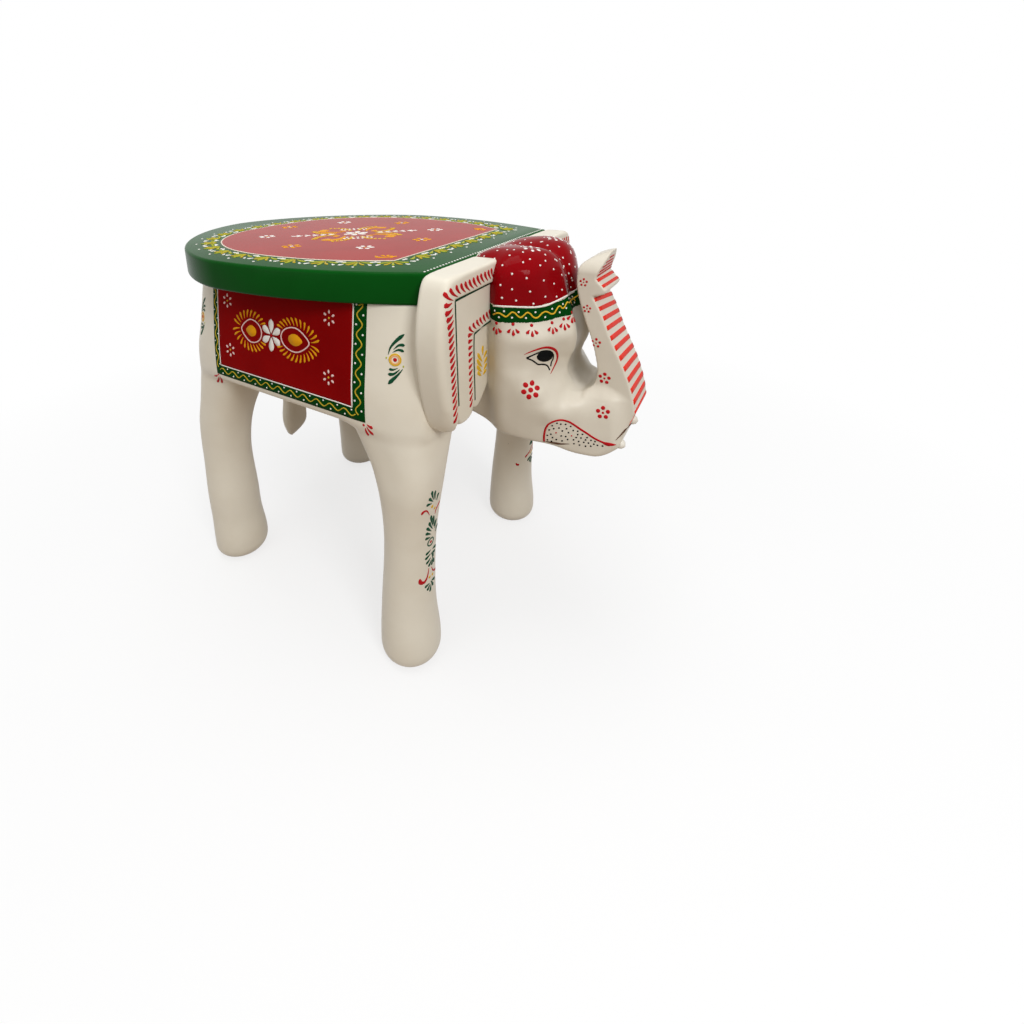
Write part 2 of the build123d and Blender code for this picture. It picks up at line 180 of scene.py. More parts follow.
@dataclass
class Lattice:
    """Regular grid of points over a box that is the same on both sides of y = 0.

    Only the left half is worked out; the right half mirrors it.
    """

    low: Point
    high: Point
    step: float
    x: Array = field(init=False)
    y: Array = field(init=False)
    z: Array = field(init=False)

    def __post_init__(self) -> None:
        """Lays out the three axes."""
        self.x = np.arange(self.low[0], self.high[0], self.step)[:, None, None]
        self.y = np.arange(0.0, self.high[1], self.step)[None, :, None]
        self.z = np.arange(self.low[2], self.high[2], self.step)[None, None, :]

    def even(self, values: Array) -> Array:
        """Divides a field by its own steepness, so that it reads as a distance."""
        steep = np.sqrt(sum(g * g for g in np.gradient(values, self.step)))
        return values / np.maximum(steep, 0.05)

    def surface(self, values: Array) -> tuple[Array, Array, Array]:
        """Finds the surface where a field passes through zero.

        Args:
            values: field on the left half.

        Returns:
            Points, faces of four corners, and a normal for each point.
        """
        full = np.broadcast_to(values, (self.x.size, self.y.size, self.z.size))
        full = np.concatenate([full[:, :0:-1], full], axis=1).astype(np.float32)
        clip = 4 * self.step
        grid = openvdb.FloatGrid(clip)
        grid.copyFromArray(np.clip(full, -clip, clip))
        points, quads = grid.convertToQuads()
        points = np.asarray(points, float)
        start = np.array([self.low[0], -(self.y.size - 1) * self.step, self.low[2]])
        return start + points * self.step, np.asarray(quads, int), self.normals(full, points)

    def normals(self, full: Array, points: Array) -> Array:
        """Reads the field's steepest direction at points given in grid steps.

        Args:
            full: the whole field.
            points: positions in grid steps.

        Returns:
            One unit vector for each point.
        """
        low = np.clip(points.astype(int), 0, np.array(full.shape) - 2)
        part = points - low
        normal = np.zeros_like(points)
        for axis, slope in enumerate(np.gradient(full)):
            for corner in np.ndindex(2, 2, 2):
                share = np.prod(np.abs(1 - np.array(corner) - part), axis=1)
                at = low + corner
                normal[:, axis] += share * slope[at[:, 0], at[:, 1], at[:, 2]]
        return normal / (np.linalg.norm(normal, axis=1)[:, None] + 1e-9)


# ---- Finishes ----


class Slot(Enum):
    """Material slots of the stored record."""

    GREEN = "green_lacquer"
    IVORY = "ivory_paint"
    TUSK = "tusk_white"


class Side(Enum):
    """Side of the elephant, as the sign of y."""

    RIGHT = -1
    LEFT = 1


def add_node(nodes: bpy.types.Nodes, kind: str, values: dict[str, float | Row] | None = None,
             operation: str = "") -> bpy.types.Node:
    """Adds one shader node and sets its constants.

    Args:
        nodes: nodes of a material or world.
        kind: type of the new node.
        values: constants by the names of their sockets.
        operation: what a maths node does.

    Returns:
        The node.
    """
    made = nodes.new(kind)
    if operation:
        made.operation = operation
    for name, value in (values or {}).items():
        made.inputs[name].default_value = value
    return made


@dataclass(frozen=True)
class Finish:
    """One kind of paint, with its colour, gloss and wear."""

    name: str
    colour: tuple[float, float, float]
    roughness: float = 0.42
    coat: float = 0.0
    gloss: float = 0.3
    shade: tuple[float, float, float] | None = None
    shade_scale: float = 14.0
    shade_share: float = 0.5
    shade_softness: float = 0.16
    bump: float = 0.0
    bump_scale: float = 60.0
    coat_roughness: float = 0.2
    coat_bending: float = 1.13

    def material(self) -> bpy.types.Material:
        """Builds the material once and then hands out the same one.

        Returns:
            The material.
        """
        known = bpy.data.materials.get(self.name)
        if known:
            return known
        made = bpy.data.materials.new(self.name)
        made.use_nodes = True
        shader = made.node_tree.nodes["Principled BSDF"]
        shader.inputs["Base Color"].default_value = (*self.colour, 1.0)
        shader.inputs["Roughness"].default_value = self.roughness
        shader.inputs["Specular IOR Level"].default_value = self.gloss
        shader.inputs["Coat Weight"].default_value = self.coat
        shader.inputs["Coat IOR"].default_value = self.coat_bending
        shader.inputs["Coat Roughness"].default_value = self.coat_roughness
        if self.shade is None and not self.bump:
            return made
        place = add_node(made.node_tree.nodes, "ShaderNodeTexCoord").outputs["Object"]
        if self.shade is not None:
            self.add_clouds(made.node_tree, place, shader)
        if self.bump:
            self.add_grain(made.node_tree, place, shader)
        return made

    def add_clouds(self, tree: bpy.types.NodeTree, place: bpy.types.NodeSocket,
                   shader: bpy.types.Node) -> None:
        """Lets the colour drift softly towards its shade, as hand-brushed paint does.

        Args:
            tree: nodes of the material.
            place: gives each spot's place on the piece.
            shader: the material's shader.
        """
        cloud = add_node(tree.nodes, "ShaderNodeTexNoise",
                         {"Scale": self.shade_scale, "Detail": 5.0, "Roughness": 0.62})
        ramp = add_node(tree.nodes, "ShaderNodeValToRGB")
        first, last = ramp.color_ramp.elements
        first.position = self.shade_share - self.shade_softness
        last.position = self.shade_share + self.shade_softness
        first.color, last.color = (*self.shade, 1.0), (*self.colour, 1.0)
        tree.links.new(place, cloud.inputs["Vector"])
        tree.links.new(cloud.outputs["Fac"], ramp.inputs["Fac"])
        tree.links.new(ramp.outputs["Color"], shader.inputs["Base Color"])

    def add_grain(self, tree: bpy.types.NodeTree, place: bpy.types.NodeSocket,
                  shader: bpy.types.Node) -> None:
        """Adds the slight unevenness of the paint.

        Args:
            tree: nodes of the material.
            place: gives each spot's place on the piece.
            shader: the material's shader.
        """
        grain = add_node(tree.nodes, "ShaderNodeTexNoise", {"Scale": self.bump_scale, "Detail": 3.0})
        relief = add_node(tree.nodes, "ShaderNodeBump", {"Strength": self.bump, "Distance": 0.0006})
        tree.links.new(place, grain.inputs["Vector"])
        tree.links.new(grain.outputs["Fac"], relief.inputs["Height"])
        tree.links.new(relief.outputs["Normal"], shader.inputs["Normal"])


IVORY = Finish(
    "ivory_coat", (0.79, 0.742, 0.63), coat=0.2, gloss=0.25,
    shade=(0.74, 0.68, 0.56), shade_scale=11.0, shade_share=0.46, bump=0.22, bump_scale=70.0,
)
# Darker, greyer copy of the body's ivory, used on the head and trunk.
HEAD_IVORY = Finish(
    "ivory_head", (0.69, 0.64, 0.54), coat=0.2, gloss=0.25,
    shade=(0.63, 0.575, 0.475), shade_scale=13.0, shade_share=0.46, bump=0.22, bump_scale=70.0,
)
GREEN = Finish(
    "green_gloss", (0.002, 0.078, 0.006), 0.3, coat=0.7, gloss=0.0,
    shade=(0.0015, 0.06, 0.004), shade_scale=9.0, bump=0.06, bump_scale=30.0,
)
TUSK = Finish("tusk_coat", (0.80, 0.765, 0.68), 0.4, coat=0.2)


# ---- Pieces ----


@dataclass
class Shell:
    """Points in millimetres, faces, and optional normals of one piece."""

    points: Array
    faces: list
    normals: Array | None = None

    def part(self, chosen: Array, apexes: Sequence[Point] = ()) -> "Shell":
        """Cuts out some faces and closes each opening with a fan inside the wood.

        Args:
            chosen: one flag for each face.
            apexes: where the fans meet, one for each opening.

        Returns:
            The closed part.
        """
        faces = np.asarray(self.faces)[chosen]
        used, flat = np.unique(faces, return_inverse=True)
        faces = flat.reshape(faces.shape)
        points = self.points[used]
        edges = np.stack([faces, np.roll(faces, -1, axis=1)], axis=2).reshape(-1, 2)
        code = edges[:, 0] * len(points) + edges[:, 1]
        back = edges[:, 1] * len(points) + edges[:, 0]
        rim = edges[~np.isin(code, back)]
        closing = []
        normals = self.normals[used]
        if len(rim):
            tips = np.asarray(apexes, float)
            apart = np.linalg.norm(points[rim[:, 0]][:, None] - tips[None], axis=2)
            nearest = apart.argmin(axis=1)
            closing = [(int(b), int(a), len(points) + int(t)) for (a, b), t in zip(rim, nearest)]
            points = np.vstack([points, tips])
            normals = np.vstack([normals, np.tile([0.0, 0.0, 1.0], (len(tips), 1))])
        return Shell(points, [tuple(int(i) for i in f) for f in faces] + closing, normals)

    def show(self, name: str, finish: Finish, slot: Slot | None = None,
             nodes: Iterable[str] = ()) -> bpy.types.Object:
        """Adds the piece to the scene, riding on the stool.

        Args:
            name: the piece's name.
            finish: its paint.
            slot: material slot of the record; not used.
            nodes: CAD nodes that it stands for.

        Returns:
            The new object.
        """
        mesh = bpy.data.meshes.new(name)
        mesh.from_pydata((np.asarray(self.points) * MM).tolist(), [], self.faces)
        mesh.update()
        mesh.shade_smooth()
        if self.normals is not None:
            mesh.normals_split_custom_set_from_vertices(self.normals.tolist())
        mesh.materials.append(finish.material())
        piece = bpy.data.objects.new(name, mesh)
        bpy.context.scene.collection.objects.link(piece)
        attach(piece, "root")
        if nodes:
            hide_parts(*nodes)
        log.info("%s: %d faces", name, len(mesh.polygons))
        return piece

    def face_middles(self) -> Array:
        """Middle of each face."""
        return self.points[np.asarray(self.faces)].mean(axis=1)

    def tree(self) -> BVHTree:
        """Search tree of the surface, for laying paint on it."""
        return BVHTree.FromPolygons(self.points.tolist(), self.faces)


@dataclass(frozen=True)
class LegForm:
    """Form of one leg, measured at several heights."""

    heights: Row
    middle_x: Row
    middle_y: Row
    half_length: Row
    half_width: Row


@dataclass
class CarvedBody:
    """Barrel-sided body with its four legs, carved as one soft shape."""

    step: float = 1.5
    belly_z: float = 222.0
    top_z: float = 319.8
    front_x: float = 103.0
    bend_x: float = 43.0
    waist_x: float = -90.0
    rear_length: float = 91.5
    belly_half_width: float = 131.0
    top_narrowing: float = 8.5
    front_taper: float = 14.0
    belly_round: float = 9.0
    top_round: float = 2.0
    front_round: float = 4.0
    split_z: float = 206.0
    split_depth: float = 8.0
    flare_z: float = 280.0
    flare_end_z: float = 166.0
    leg_flare: float = 22.0
    flare_power: float = 1.8
    haunch_blend: float = 8.0
    foot_round: float = 15.0
    front: LegForm = LegForm(
        heights=(0, 20, 54, 108, 147, 174, 189, 203, 222),
        middle_x=(75.6, 75.6, 74.9, 77.7, 79.9, 80.3, 78.2, 74.0, 68.0),
        middle_y=(104.6, 104.6, 104.6, 104.6, 104.6, 104.0, 101.8, 98.2, 93.8),
        half_length=(26.0, 25.9, 23.3, 21.3, 22.1, 25.1, 28.0, 32.0, 38.0),
        half_width=(26.0, 25.9, 23.3, 21.3, 22.1, 24.3, 26.2, 29.5, 34.0),
    )
    rear: LegForm = LegForm(
        heights=(0, 20, 46, 72, 115, 134, 163, 186, 205, 222),
        middle_x=(-157.5, -157.5, -160.0, -161.0, -161.2, -160.0, -155.0, -148.0, -141.5, -135.0),
        middle_y=(101, 101, 101, 101, 101, 101, 100, 97.6, 94.4, 89.6),
        half_length=(27.2, 27.2, 25.7, 25.7, 24.0, 23.8, 24.4, 26.2, 30.3, 36.5),
        half_width=(27.2, 27.2, 25.7, 25.7, 24.0, 23.8, 24.4, 25.8, 28.8, 33.5),
    )
    front_socket: Point = (74.0, 98.0)
    rear_socket: Point = (-146.0, 97.0)
    between_legs_x: float = -40.0

    def leg(self, grid: Lattice, form: LegForm) -> Array:
        """Distance field of one leg, round below and squarer under the body.

        Args:
            grid: the lattice.
            form: the leg's form.

        Returns:
            The field.
        """
        at = np.clip(grid.z, 0, form.heights[-1])
        power = 2.0 + 1.0 * np.clip((at - 120) / 90, 0, 1)
        half_x = profile(at, form.heights, form.half_length)
        half_y = profile(at, form.heights, form.half_width)
        dx = np.abs(grid.x - profile(at, form.heights, form.middle_x)) / half_x
        dy = np.abs(grid.y - profile(at, form.heights, form.middle_y)) / half_y
        side = ((dx ** power + dy ** power) ** (1 / power) - 1) * np.minimum(half_x, half_y)
        side = keep(side, grid.z - self.flare_z, 6.0)
        return keep(side, -grid.z, self.foot_round)

    def walls(self, grid: Lattice) -> Array:
        """Distance field of the upright walls: barrel sides and a boxy rump.

        Args:
            grid: the lattice.

        Returns:
            The field.
        """
        rise = np.clip((grid.z - 235) / 85, 0, 1)
        half = self.belly_half_width - self.top_narrowing * rise ** 1.4
        ahead = np.clip((grid.x - self.bend_x) / (self.front_x - self.bend_x), 0, 1.2)
        half = half - self.front_taper * ahead ** 2
        behind = np.clip(self.waist_x - grid.x, 0, None) / self.rear_length
        power = 3.25 - 0.55 * np.clip((grid.z - 250) / 60, 0, 1)
        return grid.even(((behind ** power + (grid.y / half) ** power) ** (1 / power) - 1) * 100.0)

    def carve(self) -> Shell:
        """Works out the whole soft shape.

        Returns:
            Its surface.
        """
        grid = Lattice((-190.0, 0.0, -6.0), (108.0, 138.0, 325.0), self.step)
        walls = self.walls(grid)
        body = keep(walls, self.belly_z - grid.z, self.belly_round)
        body = keep(body, grid.z - self.top_z, self.top_round)
        body = keep(body, grid.x - self.front_x, self.front_round)
        drop = np.clip((self.flare_z - grid.z) / (self.flare_z - self.flare_end_z), 0, 1)
        limit = np.maximum(walls, grid.x - self.front_x) - self.leg_flare * drop ** self.flare_power
        legs = keep(join(self.leg(grid, self.front), self.leg(grid, self.rear), 4.0), limit, 9.0)
        return Shell(*grid.surface(keep(join(body, legs, self.haunch_blend), limit, 1.0)))

    def build(self) -> Shell:
        """Carves the body and legs and shows each as its own piece.

        Returns:
            The whole surface, for painting.
        """
        whole = self.carve()
        middle = whole.face_middles()
        low = middle[:, 2] < self.split_z
        places = {
            f"{end}_{side.name.lower()}": (socket[0], side.value * socket[1])
            for end, socket in (("front", self.front_socket), ("rear", self.rear_socket)) for side in Side
        }
        sockets = [(x, y, self.split_z - self.split_depth) for x, y in places.values()]
        whole.part(~low, sockets).show("painted_body", IVORY, Slot.IVORY, ["body_block"])
        for name, (x, y) in places.items():
            mine = low & ((middle[:, 0] > self.between_legs_x) == (x > 0)) & ((middle[:, 1] > 0) == (y > 0))
            leg = whole.part(mine, [(x, y, self.belly_z)])
            leg.show(f"painted_{name}_leg", IVORY, Slot.IVORY, [f"{name}_leg"])
        return whole


@dataclass
class CarvedHead:
    """Two-domed head with its jaw and lip, and the trunk raised in front of it."""

    step: float = 1.0
    back_x: float = 100.0
    trunk_half_width: float = 21.0
    tip_narrowing: float = 16.0
    dome_groove: float = 4.4
    dome_crease: float = 1.2
    forehead_hollow: float = 4.2
    stations: Row = (100, 121, 130, 146, 157, 165, 172, 178, 186, 195, 206, 222)
    levels: Row = (195, 215, 235, 246, 256, 264, 274, 286, 299, 312, 335, 352)
    half_widths: tuple[Row, ...] = (
        (43, 46, 47, 47, 47, 47, 47, 47, 48, 48, 48, 46),
        (45, 49, 50.5, 50.5, 50.5, 50.5, 50.5, 51, 51, 51.5, 51, 47),
        (49, 55, 57, 57.5, 57.5, 57.5, 57.5, 58, 57.5, 58, 56, 49),
        (49, 55, 57.5, 58, 57.5, 56, 56, 57, 52.5, 52, 51, 45),
        (47, 52, 56, 56, 51, 48, 49, 52, 45, 43.5, 43, 35),
        (45, 49, 53, 50, 37, 35, 39.5, 44, 35, 32, 31, 22),
        (43, 46.5, 48.5, 38, 23, 22, 27, 32, 24, 21, 17, 10),
        (41, 44, 41.5, 27, 20, 20, 22, 25, 20, 16, 13, 6),
        (37, 39, 37, 27, 20, 20, 20, 20, 18, 16, 13, 6),
        (33, 34, 31, 23, 20, 20, 20, 20, 18, 16, 13, 6),
        (30, 30, 27, 21, 20, 20, 20, 20, 18, 16, 13, 6),
        (27, 27, 24, 21, 20, 20, 20, 20, 18, 16, 13, 6),
    )
    coat_back_x: float = 103.4
    grid: Lattice = field(init=False)
    head_field: Array = field(init=False)

    def side_outline(self) -> list[Point]:
        """Head seen from the side, as x and z."""
        return outline(
            [(96, 342.6), (104, 344.0), (114, 347.4), (128, 349.2), (143, 349.3), (154, 346.8),
             (162, 340), (167, 329), (170.5, 314), (174.4, 302), (178.4, 291), (179.8, 281), (178.4, 272),
             (175.8, 264.5), (174.2, 257.5), (175.0, 251.5), (178.6, 245.5), (183.4, 240.0), (188.5, 238.5),
             (193, 241.5), (203, 244)],
            [(203, 244), (212, 236), (216, 210)],
            [(216, 210), (216.5, 203.5), (211, 196), (203, 191.4), (193, 191.4), (184, 193.6),
             (176, 197.4), (168, 199.2), (158, 200.0), (147, 201.2), (135, 202.6), (123, 204.4),
             (112, 207.6), (96, 212)],
            [(96, 212), (96, 343)],
        )

    def trunk_outline(self) -> list[Point]:
        """Trunk seen from the side, as x and z."""
        return outline(
            [(186, 236), (193.5, 243), (197.2, 257), (194.9, 271.3), (190.6, 285), (185.7, 296.7),
             (180.7, 310.8), (177.8, 322), (177.2, 332), (178.9, 338.8), (184, 343.4), (191, 347.0),
             (198.6, 349.6)],
            [(198.6, 349.6), (195.8, 342), (193.3, 336), (191.4, 330.2)],
            [(191.4, 330.2), (199.2, 322.2)],
            [(199.2, 322.2), (198.3, 319.2)],
            [(198.3, 319.2), (190.2, 316.4)],
            [(190.2, 316.4), (194.6, 309.2), (199.2, 300.4), (205.4, 286.2), (213.3, 271), (220.2, 256),
             (225.0, 241.5), (227.2, 231)],
            [(227.2, 231), (222.6, 220), (215.6, 206.8)],
            [(215.6, 206.8), (200, 205), (186, 236)],
        )

    def carve(self) -> Shell:
        """Works out the head and trunk, and keeps the head's own field for its cap.

        Returns:
            The surface.
        """
        grid = Lattice((96.0, 0.0, 186.0), (232.0, 66.0, 354.0), self.step)
        seen = outline_distance(grid.x, grid.z, self.side_outline()) + self.groove(grid)
        soft = 5.0 + 15.0 * np.clip((grid.z - 300) / 30, 0, 1)
        head = keep(keep(self.sides(grid), seen, soft), self.back_x - grid.x, 1.5)
        half = self.trunk_half_width - self.tip_narrowing * np.clip((grid.z - 334) / 16, 0, 1) ** 1.8
        trunk = keep(outline_distance(grid.x, grid.z, self.trunk_outline()), grid.y - half, 1.4)
        blend = 14.0 - 10.5 * np.clip((grid.z - 240) / 14, 0, 1)
        self.grid, self.head_field = grid, head
        return Shell(*grid.surface(join(head, trunk, blend)))

    def sides(self, grid: Lattice) -> Array:
        """Distance field of the head's side walls, from the table of half widths.

        Args:
            grid: the lattice.

        Returns:
            The field.
        """
        table = np.array(self.half_widths, float)
        along = np.array([profile(grid.x[:, 0, 0], self.stations, column) for column in table.T]).T
        half = np.array([profile(grid.z[0, 0], self.levels, row) for row in along])[:, None, :]
        slope = sum(g * g for g in np.gradient(half[:, 0, :], self.step))[:, None, :]
        return (grid.y - half) / np.sqrt(1 + slope)

    def groove(self, grid: Lattice) -> Array:
        """How far the middle is sunk: a groove between the domes and a soft hollow below them.

        Args:
            grid: the lattice.

        Returns:
            Depth at each point.
        """
        high = np.clip((grid.z - 292) / 18, 0, 1)
        domes = self.dome_groove * np.exp(-((grid.y / 12.0) ** 2))
        domes = domes + self.dome_crease * np.exp(-((grid.y / 4.5) ** 2))
        depth = high * domes + (1 - high) * self.forehead_hollow * np.exp(-((grid.y / 14.0) ** 4))
        return depth * (np.clip((grid.z - 238) / 8, 0, 1) * np.clip((grid.x - 106) / 30, 0, 1))

    def coat(self, low_z: float, high_z: float, thickness: float) -> Shell:
        """Thin coat over the head between two heights, closed inside the wood.

        Args:
            low_z: lower edge.
            high_z: upper edge.
            thickness: how far it stands proud.

        Returns:
            The coat.
        """
        grid = self.grid
        rise = 1.5 * np.clip((grid.x - 158) / 12, 0, 1)
        belt = np.maximum(low_z + rise - grid.z, grid.z - high_z - rise)
        part = keep(self.head_field - thickness, belt, 0.2)
        return Shell(*grid.surface(np.maximum(part, self.coat_back_x - grid.x)))

    def is_trunk(self, middle: Array) -> Array:
        """Tells which faces belong to the trunk and not to the head.

        Args:
            middle: middles of the faces.

        Returns:
            One flag for each face.
        """
        x, z = middle[:, 0], middle[:, 2]
        below_window = (x > 186) & (z > 206) & (x + z > 412)
        before_window = (x > 173 + 0.32 * np.clip(322 - z, 0, None)) & (z > 262 + (196 - x) * 1.6)
        return below_window | before_window

    def build(self) -> Shell:
        """Carves the head and trunk and shows each as its own piece.

        Returns:
            The whole surface, for painting.
        """
        whole = self.carve()
        trunk = self.is_trunk(whole.face_middles())
        root = [(200.0, 0.0, 222.0)]
        whole.part(~trunk, root).show("painted_head", HEAD_IVORY, Slot.IVORY, ["head_block"])
        whole.part(trunk, root).show("painted_trunk", HEAD_IVORY, Slot.IVORY, ["trunk"])
        return whole


@dataclass
class CarvedEars:
    """Pair of square ears, each with two sunk terraces and a rounded outer edge."""

    step: float = 1.0
    back_x: float = 103.0
    front_x: float = 125.5
    terrace_depth: float = 3.0
    first_terrace: Point = (109.3, 327.5)
    second_terrace: Point = (78.6, 294.2)
    terrace_lean: float = 0.052

    def face_outline(self) -> list[Point]:
        """Ear seen from the front, as y and z."""
        return outline(
            [(44, 343), (107, 343)],
            [(107, 343), (113.5, 342), (117.5, 338.3), (120.6, 331.5), (124.2, 318), (126.2, 303),
             (126.0, 287), (123.6, 268), (119.4, 249.5), (114.6, 235.5), (109, 227.5), (103.5, 226.5),
             (101, 232.5)],
            [(101, 232.5), (96, 227.5), (86, 226.5), (78.5, 229.5), (76, 236)],
            [(76, 236), (71, 230.5), (66, 229), (61, 231)],
            [(61, 231), (44, 247.5)],
            [(44, 247.5), (44, 343)],
        )

    def carve(self) -> Shell:
        """Works out the left ear and its mirror image.

        Returns:
            The surface of both.
        """
        grid = Lattice((98.0, 0.0, 218.0), (130.0, 130.0, 348.0), self.step)
        rim = outline_distance(grid.y, grid.z, self.face_outline())
        outer = np.clip((grid.y - 96) / 18, 0, 1)
        low = np.clip((250 - grid.z) / 20, 0, 1)
        ear = keep(rim, grid.x - self.front_x, 3.0 + 3.0 * outer + 9.0 * low)
        ear = keep(ear, self.back_x - grid.x, 2.0 + 2.0 * outer)
        for count, (side_y, top_z) in enumerate((self.first_terrace, self.second_terrace), 1):
            inside = np.maximum(grid.y - side_y + self.terrace_lean * (top_z - grid.z), grid.z - top_z)
            floor = self.front_x - count * self.terrace_depth
            ear = keep(ear, -np.maximum(inside, floor - grid.x), 1.0)
        return Shell(*grid.surface(ear))

    def build(self) -> Shell:
        """Carves both ears and shows each as its own piece.

        Returns:
            The surface of both, for painting.
        """
        both = self.carve()
        y = both.face_middles()[:, 1]
        for side in Side:
            name = f"{side.name.lower()}_ear"
            both.part(y * side.value > 0).show(f"painted_{name}", IVORY, Slot.IVORY, [name])
        return both


@dataclass
class Tail:
    """Flat tail that hangs between the hind legs and ends in a pointed tuft."""

    heights: Row = (77.2, 80, 84.8, 90, 98, 108, 118, 126, 135, 150, 170, 190, 215, 240, 270, 300, 312)
    back_at: Row = (
        -185, -187.5, -190, -191.5, -192.5, -193, -193.5, -194, -194.5, -195, -195, -195, -195, -194,
        -193.5, -193, -192.5,
    )
    front_at: Row = (
        -182, -180, -177.5, -175.5, -174.5, -175, -177, -179, -181, -182.5, -183, -183, -182, -181,
        -180, -179, -179,
    )
    half_at: Row = (
        1.0, 6.6, 12.0, 15.0, 16.4, 16.2, 14.6, 13.2, 11.6, 10.2, 9.6, 9.5, 9.4, 9.4, 9.5, 9.5, 8.0,
    )
    sway_at: Row = (
        2.8, 5.8, 9.5, 10.9, 11.1, 11.6, 12.8, 13.4, 13.8, 12.5, 9.0, 5.5, 2.5, 0.8, 0.0, 0.0, 0.0,
    )
    around: int = 28
    power: float = 2.6

    def build(self) -> Shell:
        """Sweeps the tail's rounded section along its length.

        Returns:
            The surface.
        """
        levels = np.linspace(self.heights[0], self.heights[-1], 90)
        back, front, half, sway = (
            profile(levels, self.heights, row)
            for row in (self.back_at, self.front_at, self.half_at, self.sway_at)
        )
        turn = np.linspace(0, 2 * math.pi, self.around, endpoint=False)
        ring_x = np.sign(np.cos(turn)) * np.abs(np.cos(turn)) ** (2 / self.power)
        ring_y = np.sign(np.sin(turn)) * np.abs(np.sin(turn)) ** (2 / self.power)
        x = (back + front)[:, None] / 2 + (front - back)[:, None] / 2 * ring_x
        y = sway[:, None] + half[:, None] * ring_y
        points = np.stack([x, y, np.broadcast_to(levels[:, None], x.shape)], axis=2).reshape(-1, 3)
        shell = Shell(points, tube_faces(len(levels), self.around))
        shell.show("painted_tail", IVORY, Slot.IVORY, ["tail"])
        return shell


def tube_faces(rings: int, around: int) -> list:
    """Faces of a tube of rings, closed at both ends.

    Args:
        rings: how many rings.
        around: points in each ring, anticlockwise seen from the last ring.

    Returns:
        The faces, facing out.
    """
    faces = []
    for i in range(rings - 1):
        for j in range(around):
            k = (j + 1) % around
            faces.append((i * around + j, i * around + k, (i + 1) * around + k, (i + 1) * around + j))
    faces.append(tuple(range(around - 1, -1, -1)))
    last = (rings - 1) * around
    faces.append(tuple(range(last, last + around)))
    return faces


@dataclass
class Tusks:
    """Two short white tusks at the sides of the lip."""

    root: Point = (204.0, 16.5, 207.5)
    tip: Point = (222.8, 22.4, 203.4)
    root_radius: float = 4.8
    tip_radius: float = 4.1
    round_from: float = 0.72
    rings: int = 14
    around: int = 20

    def build(self) -> None:
        """Makes both tusks as round-ended cones."""
        for side in Side:
            start, end = np.array(self.root) * [1, side.value, 1], np.array(self.tip) * [1, side.value, 1]
            axis = (end - start) / np.linalg.norm(end - start)
            across = np.cross(axis, [0, 0, 1.0])
            across /= np.linalg.norm(across)
            up = np.cross(across, axis)
            points = []
            for t in np.linspace(0, 1, self.rings):
                radius = self.root_radius + (self.tip_radius - self.root_radius) * t
                past = max(t - self.round_from, 0) ** 2 / (1 - self.round_from) ** 2
                radius *= math.sqrt(max(1 - past, 0.004))
                middle = start + (end - start) * t
                for turn in np.linspace(0, 2 * math.pi, self.around, endpoint=False):
                    points.append(middle + radius * (across * math.cos(turn) + up * math.sin(turn)))
            faces = [f[::-1] for f in tube_faces(self.rings, self.around)]
            name = f"{side.name.lower()}_tusk"
            Shell(np.array(points), faces).show(f"painted_{name}", TUSK, Slot.TUSK, [name])


@dataclass
class Seat:
    """Long oval seat board, straight across the front, with a softly rounded edge."""

    front_x: float = 103.0
    rear_x: float = -228.6
    widest_x: float = -66.0
    half_width: float = 152.4
    front_half_width: float = 108.6
    roundness: float = 1.7
    bottom_z: float = 319.8
    top_z: float = 343.0
    edge_round: float = 2.6
    around: int = 420

    def half_outline(self) -> Array:
        """Works out the left half of the outline.

        Returns:
            Points from the front corner to the rear.
        """
        side = np.linspace(-1, 0, 40, endpoint=False)
        flank = np.stack([
            self.widest_x - side * (self.front_x - self.widest_x),
            self.half_width - (self.half_width - self.front_half_width) * side * side,
        ], axis=1)
        turn = np.linspace(0, math.pi / 2, 80)
        power = 2 / self.roundness
        rear = np.stack([
            self.widest_x - (self.widest_x - self.rear_x) * np.sin(turn) ** power,
            self.half_width * np.clip(np.cos(turn), 0, 1) ** power,
        ], axis=1)
        return np.vstack([flank, rear])

    def loop(self) -> Array:
        """Works out the whole outline with evenly spaced points.

        Returns:
            Closed line, anticlockwise from above.
        """
        half = self.half_outline()
        points = np.vstack([half, half[-2::-1] * [1, -1]])
        for _ in range(2):
            closed = np.vstack([points, points[:1]])
            lengths = length_along(closed)
            at = np.linspace(0, lengths[-1], self.around, endpoint=False)
            points = np.stack([np.interp(at, lengths, closed[:, k]) for k in (0, 1)], axis=1)
        return points

    def build(self) -> Shell:
        """Builds the board with its rounded top and bottom edges.

        Returns:
            The surface.
        """
        ring = self.loop()
        ahead, before = np.roll(ring, -1, axis=0), np.roll(ring, 1, axis=0)
        tangent = (ahead - before) / np.linalg.norm(ahead - before, axis=1)[:, None]
        inward = np.stack([-tangent[:, 1], tangent[:, 0]], axis=1)
        r = self.edge_round
        rows = []
        for turn in np.linspace(-math.pi / 2, 0, 6):
            rows.append((r * (1 - math.cos(turn)), self.bottom_z + r * (1 + math.sin(turn))))
        for turn in np.linspace(0, math.pi / 2, 6):
            rows.append((r * (1 - math.cos(turn)), self.top_z - r * (1 - math.sin(turn))))
        points = [np.column_stack([ring + inward * inset, np.full(len(ring), z)]) for inset, z in rows]
        shell = Shell(np.vstack(points), tube_faces(len(rows), len(ring)))
        piece = shell.show("lacquered_seat", GREEN, Slot.GREEN, ["seat_board"])
        piece.data.set_sharp_from_angle(angle=math.radians(35))
        return shell


# ---- Brushwork ----


